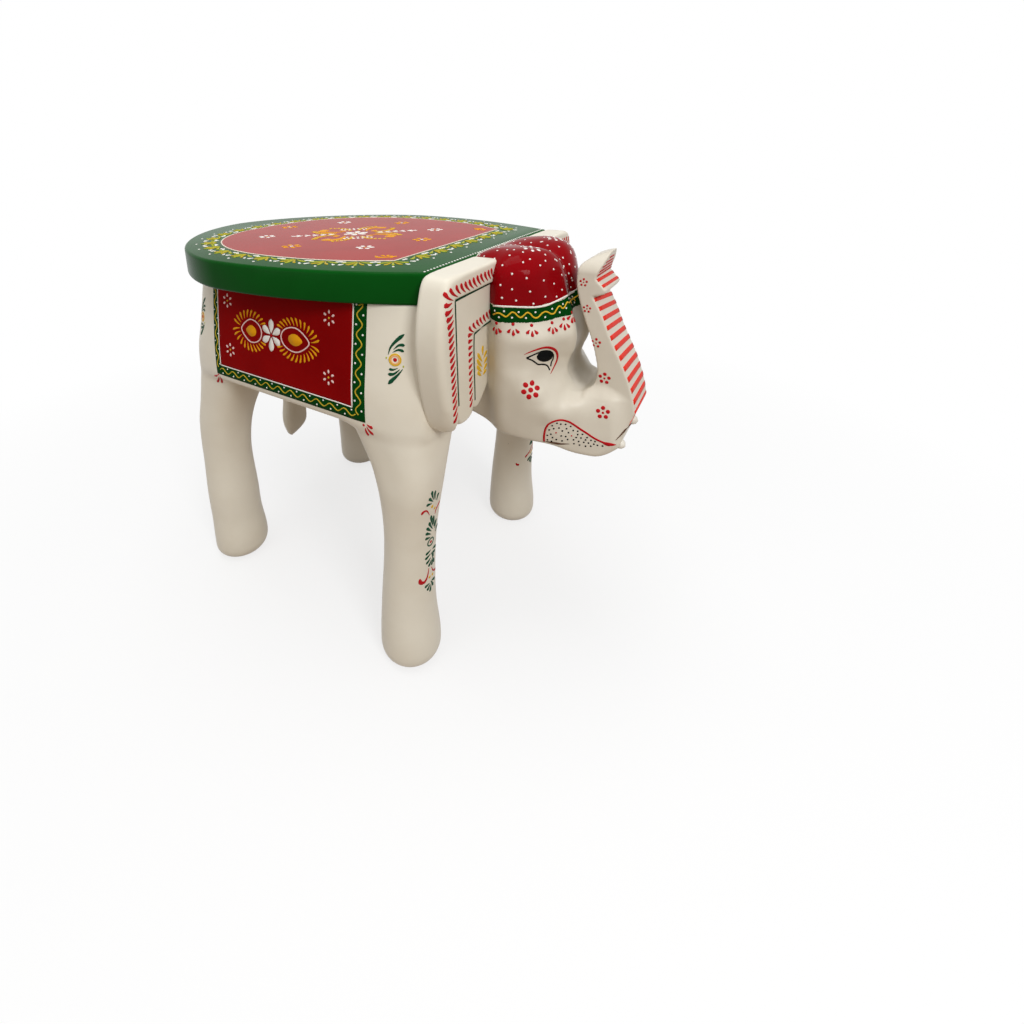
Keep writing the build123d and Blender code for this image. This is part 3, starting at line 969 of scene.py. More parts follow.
RED = Finish("lacquer_red", (0.25, 0.0015, 0.004), 0.3, coat=0.7, gloss=0.0, coat_roughness=0.08)
SEAT_RED = Finish(
    "seat_red", (0.37, 0.022, 0.016), 0.4, coat=0.7, gloss=0.0,
    shade=(0.32, 0.018, 0.012), shade_scale=20.0, shade_share=0.45,
)
CLOTH_RED = Finish(
    "panel_red", (0.26, 0.0025, 0.0025), 0.45, coat=0.2, gloss=0.0,
    shade=(0.21, 0.0015, 0.002), shade_scale=18.0, shade_share=0.45,
)
BAND_GREEN = Finish("band_green", (0.002, 0.05, 0.006), 0.4, coat=0.2, gloss=0.0)
LINE_GREEN = Finish("line_green", (0.003, 0.04, 0.016), 0.5, gloss=0.1)
LEAF_GREEN = Finish("leaf_green", (0.003, 0.06, 0.024), 0.5, gloss=0.1)
OLIVE = Finish("olive_yellow", (0.40, 0.43, 0.04), 0.45, gloss=0.05)
YELLOW = Finish("ochre_yellow", (0.72, 0.44, 0.03), 0.45, gloss=0.05)
AMBER = Finish("amber_yellow", (0.76, 0.33, 0.006), 0.45, gloss=0.05)
WHITE = Finish("dot_white", (0.85, 0.83, 0.78), 0.45, gloss=0.05)
CREAM = Finish("cream_line", (0.80, 0.68, 0.56), 0.45)
MOSS = Finish("moss_yellow", (0.52, 0.38, 0.03), 0.45, gloss=0.05)
PEACH = Finish("peach_ring", (0.80, 0.42, 0.16), 0.45)
BLUSH = Finish("blush_white", (0.80, 0.58, 0.55), 0.45)
# Dark brown that paints the shadow in the creases under the lip and at the trunk's lower side.
CREASE_SHADOW_UMBER = Finish("umber_crease_shadow", (0.10, 0.05, 0.028), 0.6, gloss=0.1)
VERMILION = Finish("vermilion", (0.46, 0.007, 0.011), 0.5, gloss=0.1)
ORANGE = Finish("stripe_orange", (0.72, 0.028, 0.012), 0.5, gloss=0.15)
BLACK = Finish("eye_black", (0.003, 0.003, 0.003), 0.6, gloss=0.05)


@dataclass
class Lens:
    """The camera: where it stands, where it looks and how large a pixel is."""

    eye: Point = (290.3, -387.7, 422.7)
    yaw: float = 32.37
    pitch: float = 16.20
    roll: float = -0.91
    focal_pixels: float = 517.2
    centre_pixels: Point = (440.0, 298.8)
    frame_pixels: float = 1024.0

    def axes(self) -> tuple[Vector, Vector, Vector]:
        """Works out which way the camera faces.

        Returns:
            Its right, up and forward directions.
        """
        yaw, pitch, roll = (math.radians(a) for a in (self.yaw, self.pitch, self.roll))
        level_share = math.cos(pitch)
        forward = Vector((-math.sin(yaw) * level_share, math.cos(yaw) * level_share, -math.sin(pitch)))
        level = Vector((math.cos(yaw), math.sin(yaw), 0.0))
        over = level.cross(forward)
        right = math.cos(roll) * level + math.sin(roll) * over
        return right, -math.sin(roll) * level + math.cos(roll) * over, forward


@dataclass
class Sheet:
    """Drawing sheet held before a surface; each point on it lands on the wood straight behind."""

    tree: BVHTree
    origin: Point
    across: Point
    upward: Point = (0.0, 0.0, 1.0)
    reach: float = 60.0

    def at(self, u: float, v: float) -> Vector:
        """Place of one of the sheet's points."""
        return Vector(self.origin) + Vector(self.across) * u + Vector(self.upward) * v

    def ray(self, u: float, v: float) -> tuple[Vector, Vector]:
        """Line from a point of the sheet to the wood, as its start and direction."""
        out = Vector(self.across).cross(Vector(self.upward)).normalized()
        return self.at(u, v) + out * self.reach, -out

    def find(self, u: float, v: float) -> tuple[Vector, Vector]:
        """Finds the wood behind a point of the sheet.

        Args:
            u: first coordinate of the point.
            v: second coordinate of the point.

        Returns:
            Place and outward normal on the wood.
        """
        start, way = self.ray(float(u), float(v))
        spot, normal, _, _ = self.tree.ray_cast(start, way, 1200.0)
        if spot is None:
            spot, normal, _, _ = self.tree.find_nearest(start + way * self.reach)
        return spot, normal

    def press(self, point: Vector, normal: Vector) -> tuple[Vector, Vector]:
        """Puts a point down on the wood along a normal; past an edge it stays level.

        Args:
            point: a point near the wood.
            normal: the way out of the wood.

        Returns:
            Place and outward normal on the wood.
        """
        spot, out, _, _ = self.tree.ray_cast(point + normal * 5.0, -normal, 10.0)
        if spot is None or out.dot(normal) < 0.3:
            return point, normal
        return spot, out

    def spot(self, u: float, v: float, turn: float = 0.0) -> "Sheet":
        """Small flat sheet that touches the wood at a point.

        Args:
            u: first coordinate of the point.
            v: second coordinate of the point.
            turn: how far the small sheet is turned, in degrees.

        Returns:
            The sheet, with its origin at the point.
        """
        place, normal = self.find(u, v)
        right = Vector(self.across)
        right = (right - normal * right.dot(normal)).normalized()
        up = normal.cross(right)
        c, s = heading(turn).tolist()
        return Sheet(self.tree, tuple(place), tuple(right * c + up * s), tuple(up * c - right * s), 8.0)


@dataclass
class Sight(Sheet):
    """Sheet of the camera's frame; u and v are the column and row of a pixel."""

    lens: Lens = field(default_factory=Lens)

    @classmethod
    def on(cls, tree: BVHTree) -> "Sight":
        """The camera's sheet before one surface."""
        right, up, _ = Lens().axes()
        return cls(tree, Lens().eye, tuple(right), tuple(up), 500.0)

    def ray(self, u: float, v: float) -> tuple[Vector, Vector]:
        """Line of sight through a pixel.

        Args:
            u: column of the pixel.
            v: row of the pixel.

        Returns:
            Its start and direction.
        """
        right, up, forward = self.lens.axes()
        across = (u - self.lens.centre_pixels[0]) / self.lens.focal_pixels
        down = (v - self.lens.centre_pixels[1]) / self.lens.focal_pixels
        return Vector(self.lens.eye), (forward + right * across - up * down).normalized()


@dataclass
class Slope(Sheet):
    """Sheet that follows a side outline; u is y and v runs down along the outline."""

    line: Array = field(default_factory=lambda: np.zeros((2, 2)))

    def ray(self, u: float, v: float) -> tuple[Vector, Vector]:
        """Line square to the outline, from in front of it.

        Args:
            u: place across the outline.
            v: length along it.

        Returns:
            The line's start and direction.
        """
        at = length_along(self.line)
        places = ([np.interp(here, at, row) for row in self.line.T] for here in (v, v - 1, v + 1))
        (x, z), before, after = places
        dx, dz = after[0] - before[0], after[1] - before[1]
        out = Vector((-dz, 0.0, dx)).normalized()
        return Vector((x, u, z)) + out * self.reach, -out


def bend(start: Point, middle: Point, end: Point, count: int = 8) -> Array:
    """Curved line from start to end, pulled towards a middle point.

    Args:
        start: first point.
        middle: point that pulls the line.
        end: last point.
        count: number of samples.

    Returns:
        The sampled line.
    """
    t = np.linspace(0, 1, count)[:, None]
    a, b, c = (np.asarray(p, float) for p in (start, middle, end))
    return (1 - t) ** 2 * a + 2 * t * (1 - t) * b + t * t * c


class Tip(Enum):
    """How a brush stroke starts and ends."""

    COMMA = "round head and thin tail"
    PETAL = "full round head and pointed tail"
    LEAF = "pointed at both ends"
    LINE = "even"

    def widths(self, t: Array) -> Array:
        """Share of the full width along a stroke.

        Args:
            t: positions from 0 at its start to 1 at its end.

        Returns:
            One share for each position.
        """
        if self is Tip.COMMA:
            return np.sqrt(np.clip(t / 0.16, 0, 1)) * (1 - 0.86 * np.clip((t - 0.2) / 0.8, 0, 1) ** 1.2)
        if self is Tip.PETAL:
            return np.sqrt(np.clip(t / 0.22, 0, 1)) * (1 - np.clip((t - 0.4) / 0.6, 0, 1) ** 1.7)
        if self is Tip.LEAF:
            return np.sin(math.pi * t) ** 0.7
        return np.ones_like(t)


def oval(middle: Point, half_width: float, half_height: float, count: int) -> Array:
    """Some number of points round an oval, anticlockwise."""
    turn = np.linspace(0, 2 * math.pi, count, endpoint=False)
    return np.array(middle) + np.stack([half_width * np.cos(turn), half_height * np.sin(turn)], axis=1)


@dataclass
class Brush:
    """Collects the strokes of one finish and turns them into one piece."""

    finish: Finish
    height: float = 0.3
    dot_corners: int = 12
    root: float = 0.25
    points: list = field(default_factory=list)
    faces: list = field(default_factory=list)
    count: int = 0

    def add(self, points: Array, faces: Iterable[Sequence[int]]) -> None:
        """Adds one closed stroke.

        Args:
            points: its points, in millimetres.
            faces: its faces, counted from its own first point.
        """
        self.faces += [tuple(i + self.count for i in f) for f in faces]
        self.points.append(points)
        self.count += len(points)

    def stroke(self, sheet: Sheet, line: Sequence[Point], half_width: float,
               tip: Tip = Tip.LINE, closed: bool = False) -> None:
        """Lays one raised stroke along a line.

        Args:
            sheet: where it is drawn.
            line: its middle line.
            half_width: half of its greatest width, in millimetres.
            tip: shape of its ends.
            closed: True if the line meets itself.
        """
        found = [sheet.find(u, v) for u, v in line]
        n = len(found)
        wide = half_width * np.maximum(tip.widths(np.linspace(0, 1, n)), 0.08)
        rise = 0.75 * self.height
        section = ((-1.0, -self.root), (-0.85, rise), (0.0, self.height), (0.85, rise), (1.0, -self.root))
        placed = []
        for i, (spot, normal) in enumerate(found):
            before = found[i - 1][0] if i or closed else spot
            after = found[(i + 1) % n][0] if i < n - 1 or closed else spot
            left = normal.cross(after - before).normalized()
            for share, lift in section:
                place, out = sheet.press(spot + left * float(-share * wide[i]), normal)
                placed.append(place + out * lift)
        faces = []
        for i in range(n if closed else n - 1):
            k = (i + 1) % n
            for j in range(5):
                m = (j + 1) % 5
                faces.append((i * 5 + m, k * 5 + m, k * 5 + j, i * 5 + j))
        if not closed:
            faces.append((4, 3, 2, 1, 0))
            faces.append(tuple(range((n - 1) * 5, n * 5)))
        self.add(np.array([tuple(p) for p in placed]), faces)

    def dot(self, sheet: Sheet, at: Point, radius: float, stretch: float = 1.0, turn: float = 0.0) -> None:
        """Lays one raised dot.

        Args:
            sheet: where it is drawn.
            at: its middle.
            radius: its radius across, in millimetres.
            stretch: how much longer it is than wide.
            turn: way its long side points, in degrees.
        """
        angle = np.linspace(0, 2 * math.pi, self.dot_corners, endpoint=False)
        ring = np.stack([np.cos(angle) * stretch, np.sin(angle)], axis=1) * radius
        way = heading(turn)
        self.mound(sheet.spot(*at), ring @ np.array([way, square_to(way)]), 0.72)

    def mound(self, near: Sheet, ring: Array, inner: float) -> None:
        """Lays a low mound inside a closed line drawn on a small sheet.

        Args:
            near: the small sheet.
            ring: points round it, anticlockwise.
            inner: size of its upper edge as a share of the line.
        """
        n = len(ring)
        middle = ring.mean(axis=0)
        out = Vector(near.across).cross(Vector(near.upward))
        foot, upper = middle + (ring - middle), middle + (ring - middle) * inner
        placed = []
        for row, lift in ((foot, -self.root), (upper, 0.8 * self.height), ([middle], self.height)):
            for u, v in row:
                place, up = near.press(near.at(float(u), float(v)), out)
                placed.append(place + up * lift)
        faces = [tuple(range(n - 1, -1, -1))]
        for j in range(n):
            k = (j + 1) % n
            faces.append((j, k, n + k, n + j))
            faces.append((n + j, n + k, 2 * n))
        self.add(np.array([tuple(p) for p in placed]), faces)

    def fill(self, sheet: Sheet, edge: Sequence[Point]) -> None:
        """Fills a small closed shape.

        Args:
            sheet: where it is drawn.
            edge: points round the shape.
        """
        spots = np.array([tuple(sheet.find(u, v)[0]) for u, v in edge])
        middle = np.asarray(edge, float).mean(axis=0)
        near = sheet.spot(*middle)
        apart = spots - np.array(near.origin)
        ring = np.stack([apart @ np.array(near.across), apart @ np.array(near.upward)], axis=1)
        turned = np.roll(ring, -1, axis=0)
        if np.sum(ring[:, 0] * turned[:, 1] - ring[:, 1] * turned[:, 0]) < 0:
            ring = ring[::-1]
        self.mound(near, ring, 0.93)

    def patch(self, sheet: Sheet, low: Point, high: Point, lift: float, pitch: float = 2.5) -> None:
        """Lays an even coat over a rectangle of the sheet.

        Args:
            sheet: where it is drawn.
            low: one corner.
            high: the opposite corner.
            lift: how far it stands proud.
            pitch: size of its mesh.
        """
        nu = max(2, int((high[0] - low[0]) / pitch) + 1)
        nv = max(2, int((high[1] - low[1]) / pitch) + 1)
        top, under = [], []
        for u in np.linspace(low[0], high[0], nu):
            for v in np.linspace(low[1], high[1], nv):
                spot, normal = sheet.find(u, v)
                top.append(tuple(spot + normal * lift))
                under.append(tuple(spot - normal * 0.4))
        faces, size = [], nu * nv
        for i in range(nu - 1):
            for j in range(nv - 1):
                a, b, c, d = i * nv + j, (i + 1) * nv + j, (i + 1) * nv + j + 1, i * nv + j + 1
                faces += [(a, b, c, d), (size + d, size + c, size + b, size + a)]
        rim = [i * nv for i in range(nu)] + [(nu - 1) * nv + j for j in range(1, nv)]
        rim += [i * nv + nv - 1 for i in range(nu - 2, -1, -1)] + list(range(nv - 2, 0, -1))
        for a, b in zip(rim, rim[1:] + rim[:1]):
            faces.append((a, size + a, size + b, b))
        self.add(np.array(top + under), faces)


@dataclass(frozen=True)
class Blossom:
    """Pattern of a small flower: dots or oval petals round a middle dot."""

    petal: Finish
    reach: float
    radius: float
    stretch: float = 1.0
    petals: int = 6
    turn: float = 90.0
    heart: Finish | None = None
    heart_radius: float = 1.0


@dataclass(frozen=True)
class Ripple:
    """Pattern of a wavy line with dots in its hollows."""

    line: Finish
    length: float
    swing: float
    half_width: float
    dot: Finish
    dot_radius: float
    dot_share: float


@dataclass
class Painting:
    """Brushes of one painted area; if it is mirrored, both sides of y = 0 are painted."""

    area: str
    mirrored: bool = False
    height: float = 0.3
    brushes: dict[str, Brush] = field(default_factory=dict)

    def brush(self, finish: Finish) -> Brush:
        """The brush that holds a finish."""
        return self.brushes.setdefault(finish.name, Brush(finish, self.height))

    def flower(self, sheet: Sheet, at: Point, kind: Blossom) -> None:
        """Paints a small flower.

        Args:
            sheet: where it is drawn.
            at: its middle.
            kind: its pattern.
        """
        near = sheet.spot(*at)
        for k in range(kind.petals):
            angle = kind.turn + 360 * k / kind.petals
            self.brush(kind.petal).dot(near, kind.reach * heading(angle), kind.radius, kind.stretch, angle)
        if kind.heart:
            self.brush(kind.heart).dot(near, (0.0, 0.0), kind.heart_radius)

    def comma(self, sheet: Sheet, finish: Finish, head: Point, tail: Point, half_width: float,
              sway: float = 0.18, tip: Tip = Tip.COMMA) -> None:
        """Paints a comma stroke from a round head to a thin tail.

        Args:
            sheet: where it is drawn.
            finish: its paint.
            head: round end.
            tail: thin end.
            half_width: half width near the head.
            sway: how far it curves to its left, as a share of its length.
            tip: shape of its ends.
        """
        dx, dy = tail[0] - head[0], tail[1] - head[1]
        middle = ((head[0] + tail[0]) / 2 - dy * sway, (head[1] + tail[1]) / 2 + dx * sway)
        self.brush(finish).stroke(sheet, bend(head, middle, tail), half_width, tip)

    def wave(self, sheet: Sheet, start: Point, end: Point, kind: Ripple) -> None:
        """Paints a wavy line along a straight axis.

        Args:
            sheet: where it is drawn.
            start: first end of the axis.
            end: last end of the axis.
            kind: its pattern.
        """
        a, b = np.asarray(start, float), np.asarray(end, float)
        span = float(np.linalg.norm(b - a))
        way = (b - a) / span
        side = square_to(way)
        waves = max(1, round(span / kind.length))
        at = np.linspace(0, span, waves * 12 + 1)
        swing = kind.swing * np.sin(2 * math.pi * waves * at / span)
        drawn = a + at[:, None] * way + swing[:, None] * side
        self.brush(kind.line).stroke(sheet, drawn, kind.half_width)
        for k in range(2 * waves):
            where = a + way * span * (k + 0.5) / (2 * waves)
            where = where - side * kind.swing * kind.dot_share * (1 if k % 2 == 0 else -1)
            self.brush(kind.dot).dot(sheet, where, kind.dot_radius)

    def show(self) -> None:
        """Turns each brush into one piece."""
        for name, brush in self.brushes.items():
            points = np.vstack(brush.points)
            faces = list(brush.faces)
            if self.mirrored:
                count = len(points)
                points = np.vstack([points, points * [1, -1, 1]])
                faces += [tuple(i + count for i in reversed(f)) for f in brush.faces]
            Shell(points, faces).show(f"{self.area}_{name}", brush.finish)


class Way(Enum):
    """Way along the body, as the sign of x."""

    BACK = -1
    FORWARD = 1


@dataclass(frozen=True)
class Drop:
    """Closed drop shape with its point towards one end of the body."""

    middle: Point
    half_length: float
    half_height: float
    way: Way

    def edge(self, count: int = 44) -> Array:
        """Works out its edge.

        Args:
            count: number of points.

        Returns:
            Points round it, beginning at its point.
        """
        t = np.linspace(0, 2 * math.pi, count, endpoint=False)
        u = np.cos(t)
        v = np.sin(t) * (1 - 0.45 * np.clip(u, 0, 1) ** 1.6) * 1.04
        x = self.middle[0] + self.way.value * self.half_length * u
        return np.stack([x, self.middle[1] + self.half_height * v], axis=1)

    def core(self) -> "Drop":
        """Small drop in its middle."""
        middle = (self.middle[0] + self.way.value * 0.4, self.middle[1])
        return Drop(middle, self.half_length * 0.53, 4.9, self.way)

    def around(self, half_length: float, half_height: float, turn: float) -> Point:
        """Point on an oval round it, at an angle from its point."""
        x = self.middle[0] + self.way.value * half_length * math.cos(turn)
        return (x, self.middle[1] + half_height * math.sin(turn))


@dataclass
class SaddlePanels:
    """Red panel with a green border on each flank, and the sprigs round it."""

    tree: BVHTree
    rear_x: float = -113.0
    front_x: float = 60.8
    bottom_z: float = 230.0
    top_z: float = 321.0
    rear_border: float = 7.5
    front_border: float = 11.5
    bottom_border: float = 10.0
    middle: Point = (-36.9, 279.3)
    petal_angles: Row = (90, 148, 212, 270, 328, 32)
    upright_petal: float = 13.4
    slanting_petal: float = 12.0
    drops: tuple[tuple[Drop, int], ...] = (
        (Drop((-61.2, 279.0), 12.6, 9.4, Way.BACK), 21),
        (Drop((-9.8, 280.3), 15.6, 9.4, Way.FORWARD), 24),
    )
    ring_end: float = 141.0
    flowers: Line = ((-91.9, 300.2), (26.2, 303.7), (-90.0, 257.1), (26.1, 257.8))
    flower: Blossom = Blossom(BLUSH, 4.7, 1.25, 1.55)
    rear_wave: Ripple = Ripple(MOSS, 13.0, 1.5, 0.42, WHITE, 0.7, 1.4)
    bottom_wave: Ripple = Ripple(MOSS, 15.0, 2.0, 0.45, WHITE, 0.8, 1.35)
    front_wave: Ripple = Ripple(MOSS, 15.5, 2.4, 0.5, WHITE, 0.95, 1.25)
    front_sprig: Point = (61.6, 226.5)
    front_sprig_dot: Point = (-2.6, 1.0)
    front_sprig_strokes: tuple[Line, ...] = (
        ((5.5, 0.5), (0.5, 2.5)), ((5.0, -6.0), (0.2, 0.5)), ((-0.5, -8.5), (-1.2, -1.0)),
    )
    rear_sprig_pixel: Point = (218.6, 374.4)
    rear_sprig_pixels: tuple[Line, ...] = (
        ((214.7, 376.0), (218.0, 374.6)), ((217.3, 382.2), (219.0, 376.6)),
        ((221.9, 383.2), (219.9, 376.4)),
    )
    art: Painting = field(init=False)
    sheet: Sheet = field(init=False)

    def build(self) -> None:
        """Paints the right flank and mirrors it."""
        self.sheet = Sheet(self.tree, (0.0, -140.0, 0.0), (1.0, 0.0, 0.0))
        self.art = Painting("flank", mirrored=True, height=0.75)
        low_corner, high_corner = (self.rear_x, self.bottom_z), (self.front_x, self.top_z)
        self.art.brush(BAND_GREEN).patch(self.sheet, low_corner, high_corner, 0.2)
        left, right = self.rear_x + self.rear_border, self.front_x - self.front_border
        low = self.bottom_z + self.bottom_border
        self.art.brush(CLOTH_RED).patch(self.sheet, (left, low), (right, self.top_z), 0.4)
        corners = ((left, self.top_z), (left, low), (right, low), (right, self.top_z))
        for a, b in zip(corners, corners[1:]):
            self.art.brush(WHITE).stroke(self.sheet, np.linspace(a, b, int(math.dist(a, b) / 3) + 2), 0.55)
        self.border(left, right, low)
        self.rosette()
        for at in self.flowers:
            self.art.flower(self.sheet, at, self.flower)
            self.art.brush(YELLOW).dot(self.sheet, at, 1.1)
        self.sprigs()
        self.art.show()

    def border(self, left: float, right: float, low: float) -> None:
        """Paints the wavy lines and dots of the border.

        Args:
            left: rear edge of the red field.
            right: front edge of the red field.
            low: lower edge of the red field.
        """
        rear, front = (left + self.rear_x) / 2, (right + self.front_x) / 2
        z = (low + self.bottom_z) / 2
        self.art.wave(self.sheet, (rear, self.top_z), (rear, z + 2), self.rear_wave)
        self.art.wave(self.sheet, (rear + 2, z), (right + 3, z), self.bottom_wave)
        self.art.wave(self.sheet, (front, z), (front, self.top_z), self.front_wave)

    def sprigs(self) -> None:
        """Paints a small red sprig outside each lower corner of the panel."""
        art = Painting("sprig_red", mirrored=True)
        foot = np.array(self.front_sprig)
        art.brush(VERMILION).dot(self.sheet, foot + self.front_sprig_dot, 1.3)
        for head, tail in self.front_sprig_strokes:
            art.comma(self.sheet, VERMILION, foot + head, foot + tail, 1.6)
        sight = Sight.on(self.tree)
        art.brush(VERMILION).dot(sight, self.rear_sprig_pixel, 1.0)
        for head, tail in self.rear_sprig_pixels:
            art.comma(sight, VERMILION, head, tail, 1.4)
        art.show()

    def rosette(self) -> None:
        """Paints the middle flower between two drops in rings of yellow strokes."""
        middle = np.array(self.middle)
        for angle in self.petal_angles:
            way = heading(angle)
            reach = self.upright_petal if abs(way[1]) > 0.9 else self.slanting_petal
            self.art.comma(self.sheet, WHITE, middle + reach * way, middle + 1.8 * way, 3.3, 0.0, Tip.PETAL)
        self.art.brush(VERMILION).dot(self.sheet, self.middle, 1.2)
        for drop, count in self.drops:
            length, height = drop.half_length, drop.half_height
            self.art.brush(BLUSH).stroke(self.sheet, drop.edge(), 0.6, closed=True)
            self.art.brush(AMBER).fill(self.sheet, drop.core().edge())
            for k in range(count):
                turn = math.radians(-self.ring_end + 2 * self.ring_end * k / (count - 1))
                side = 1.0 if k > (count - 1) / 2 else -1.0
                reach = length + 7.8 + 4.0 * max(math.cos(turn), 0.0) ** 2
                inner = drop.around(length + 2.0, height + 2.0, turn)
                outer = drop.around(reach, height + 8.6, turn + 0.16 * side)
                self.art.comma(self.sheet, AMBER, outer, inner, 1.15, 0.12 * side * drop.way.value)


@dataclass
class SeatPainting:
    """Painting on the seat: red field, white edge line, rosette, small flowers and leaf clusters."""

    tree: BVHTree
    top_z: float = 343.0
    centre: Point = (-53.0, 0.0)
    paisley: Line = ((44.0, -1.0), (40.0, 6.5), (32.0, 8.5), (24.0, 5.5), (17.0, 1.0))
    half_field: Line = (
        (59.8, 87.0), (29.0, 103.5), (-10.0, 115.0), (-62.0, 119.5), (-104.0, 111.0), (-141.0, 88.0),
        (-166.0, 50.0), (-173.5, 0.0),
    )
    field_height: float = 0.22
    field_root: float = 0.5
    leaf_fan: tuple[tuple[float, float, float, Finish], ...] = (
        (-1.2, 12.5, 1.4, OLIVE), (-0.55, 13.0, 1.2, MOSS), (0.0, 14.0, 1.2, OLIVE),
        (0.55, 13.0, 1.2, MOSS), (1.2, 12.5, 1.4, OLIVE),
    )
    fan_pitch: float = 25.5
    white_flowers: Line = ((-65, 55), (-65, -55), (58, 55), (58, -55))
    white_flower: Blossom = Blossom(WHITE, 5.6, 2.3, 1.35, heart=AMBER, heart_radius=1.3)
    amber_flowers: Line = ((-94, 0), (79, 0), (-3, 81), (-3, -81))
    amber_flower: Blossom = Blossom(AMBER, 6.2, 2.5, 1.35, heart=WHITE, heart_radius=2.0)
    corner: Point = (47.0, 79.0)
    corner_curl: Line = ((-11, 1), (-5, 4), (0, 1), (2, -4), (-2, -6))
    corner_strokes: Line = ((-8, -3), (-4, -6), (5, -1), (5, -6))
    front_dots_x: float = 99.8
    art: Painting = field(init=False)
    sheet: Sheet = field(init=False)

    def field_edge(self, out: float = 0.0) -> Array:
        """Edge of the red field, or a line a little outside it.

        Args:
            out: distance outside the edge.

        Returns:
            Closed line, anticlockwise from above.
        """
        half = np.array(flow(self.half_field, 10))
        front = np.linspace((half[0, 0], -half[0, 1]), half[0], 24, endpoint=False)[1:]
        line = np.vstack([half, half[-2::-1] * [1, -1], front])
        if out:
            along = np.roll(line, -1, axis=0) - np.roll(line, 1, axis=0)
            along /= np.linalg.norm(along, axis=1)[:, None]
            line = line + np.stack([along[:, 1], -along[:, 0]], axis=1) * out
        return line

    def cluster(self, at: Array, out: Array) -> None:
        """Fan of green-yellow leaves with white tips, pointing away from the red field.

        Args:
            at: foot of the fan.
            out: way it points.
        """
        for lean, length, wide, finish in self.leaf_fan:
            way = swung(out, lean)
            self.art.comma(self.sheet, finish, at + way * length, at + way * 1.5, wide, 0.2 * np.sign(lean))
        for lean in (-1.5, -0.8, 0.8, 1.5):
            way = swung(out, lean)
            self.art.comma(self.sheet, WHITE, at + way * 17.0, at + way * 12.5, 1.2)
        self.art.brush(WHITE).dot(self.sheet, at + out * 17.5, 1.1)

    def build(self) -> None:
        """Paints the whole seat top."""
        self.sheet = Sheet(self.tree, (0.0, 0.0, self.top_z), (1.0, 0.0, 0.0), (0.0, 1.0, 0.0), 20.0)
        self.art = Painting("seat", height=0.5)
        edge = self.field_edge()
        self.red_field(edge)
        self.art.brush(CREAM).stroke(self.sheet, edge, 0.65, closed=True)
        self.clusters()
        self.rosette()
        middle = np.array(self.centre)
        for at in self.white_flowers:
            self.art.flower(self.sheet, middle + at, self.white_flower)
        for at in self.amber_flowers:
            self.art.flower(self.sheet, middle + at, self.amber_flower)
        for side in Side:
            self.curl(side)
        for y in np.arange(-106, 107, 4.0):
            self.art.brush(WHITE).dot(self.sheet, (self.front_dots_x, y), 0.9)
        self.art.show()

    def red_field(self, edge: Array) -> None:
        """Lays the red field as one thin coat.

        Args:
            edge: its edge.
        """
        n = len(edge)
        inner = self.field_edge(-1.0)
        over, under = self.field_height, -self.field_root
        rings = [np.column_stack([line, np.full(n, self.top_z + lift)])
                 for line, lift in ((inner, over), (edge, over), (edge, under), (inner, under))]
        faces = [tuple(range(n)), tuple(range(4 * n - 1, 3 * n - 1, -1))]
        for ring in range(3):
            low, high = ring * n, ring * n + n
            faces += [(low + j, high + j, high + (j + 1) % n, low + (j + 1) % n) for j in range(n)]
        self.art.brush(SEAT_RED).add(np.vstack(rings), faces)

    def curl(self, side: Side) -> None:
        """Orange curl in a front corner of the field.

        Args:
            side: side of the corner.
        """
        at = np.array(self.corner) * [1, side.value]
        line = at + np.array(self.corner_curl) * [1, side.value]
        self.art.brush(AMBER).stroke(self.sheet, flow(line, 6), 1.7, Tip.COMMA)
        for stroke in np.array(self.corner_strokes) * [1, side.value]:
            self.art.comma(self.sheet, AMBER, at + stroke, at + stroke * [0.3, 0.2], 1.6)

    def clusters(self) -> None:
        """Sets the leaf clusters evenly round the red field."""
        line = self.field_edge(3.5)
        closed = np.vstack([line, line[:1]])
        at = length_along(closed)
        count = round(at[-1] / self.fan_pitch)
        for k in range(count):
            for share, dot in ((k, False), (k + 0.5, True)):
                here = at[-1] * share / count
                spot = np.array([np.interp(here, at, closed[:, i]) for i in (0, 1)])
                ahead = np.array([np.interp((here + 2) % at[-1], at, closed[:, i]) for i in (0, 1)])
                way = (ahead - spot) / (np.linalg.norm(ahead - spot) + 1e-9)
                out = np.array([way[1], -way[0]])
                if dot:
                    self.art.brush(WHITE).dot(self.sheet, spot + out, 1.5)
                else:
                    self.cluster(spot, out)

    def rosette(self) -> None:
        """Paints the middle flower with four yellow paisleys, leaf chains and dot arcs."""
        middle = np.array(self.centre)
        for k in range(6):
            way = heading(60 * k)
            self.art.comma(self.sheet, WHITE, middle + 12.5 * way, middle + 2 * way, 3.2, 0.0, Tip.PETAL)
        self.art.brush(AMBER).dot(self.sheet, middle, 1.8)
        curl = np.array(flow(self.paisley, 6))
        for angle in (0.0, 90.0, 180.0, 270.0):
            out = heading(angle)
            side = square_to(out)
            drawn = middle + curl[:, :1] * out + curl[:, 1:] * side
            self.art.brush(AMBER).stroke(self.sheet, drawn, 4.2, Tip.COMMA)
            self.art.brush(AMBER).dot(self.sheet, middle + out * 42.0, 5.0, 1.3, angle)
            self.art.brush(AMBER).dot(self.sheet, middle + out * 22.0 - side * 5.5, 3.6, 1.4, angle)
            for lean in (-1, 1):
                for step in np.linspace(0.0, 1.0, 8):
                    aside = 9.0 + 5.0 * math.sin(math.pi * step)
                    spot = middle + out * (17 + 27 * step) + side * lean * aside
                    self.art.comma(self.sheet, YELLOW, spot + side * lean * 5.2 + out * 2.6, spot, 1.9, 0.1)
        for angle in (45.0, 225.0):
            self.leaf_chain(middle, heading(angle))
            self.dot_arcs(middle, heading(angle + 90.0))

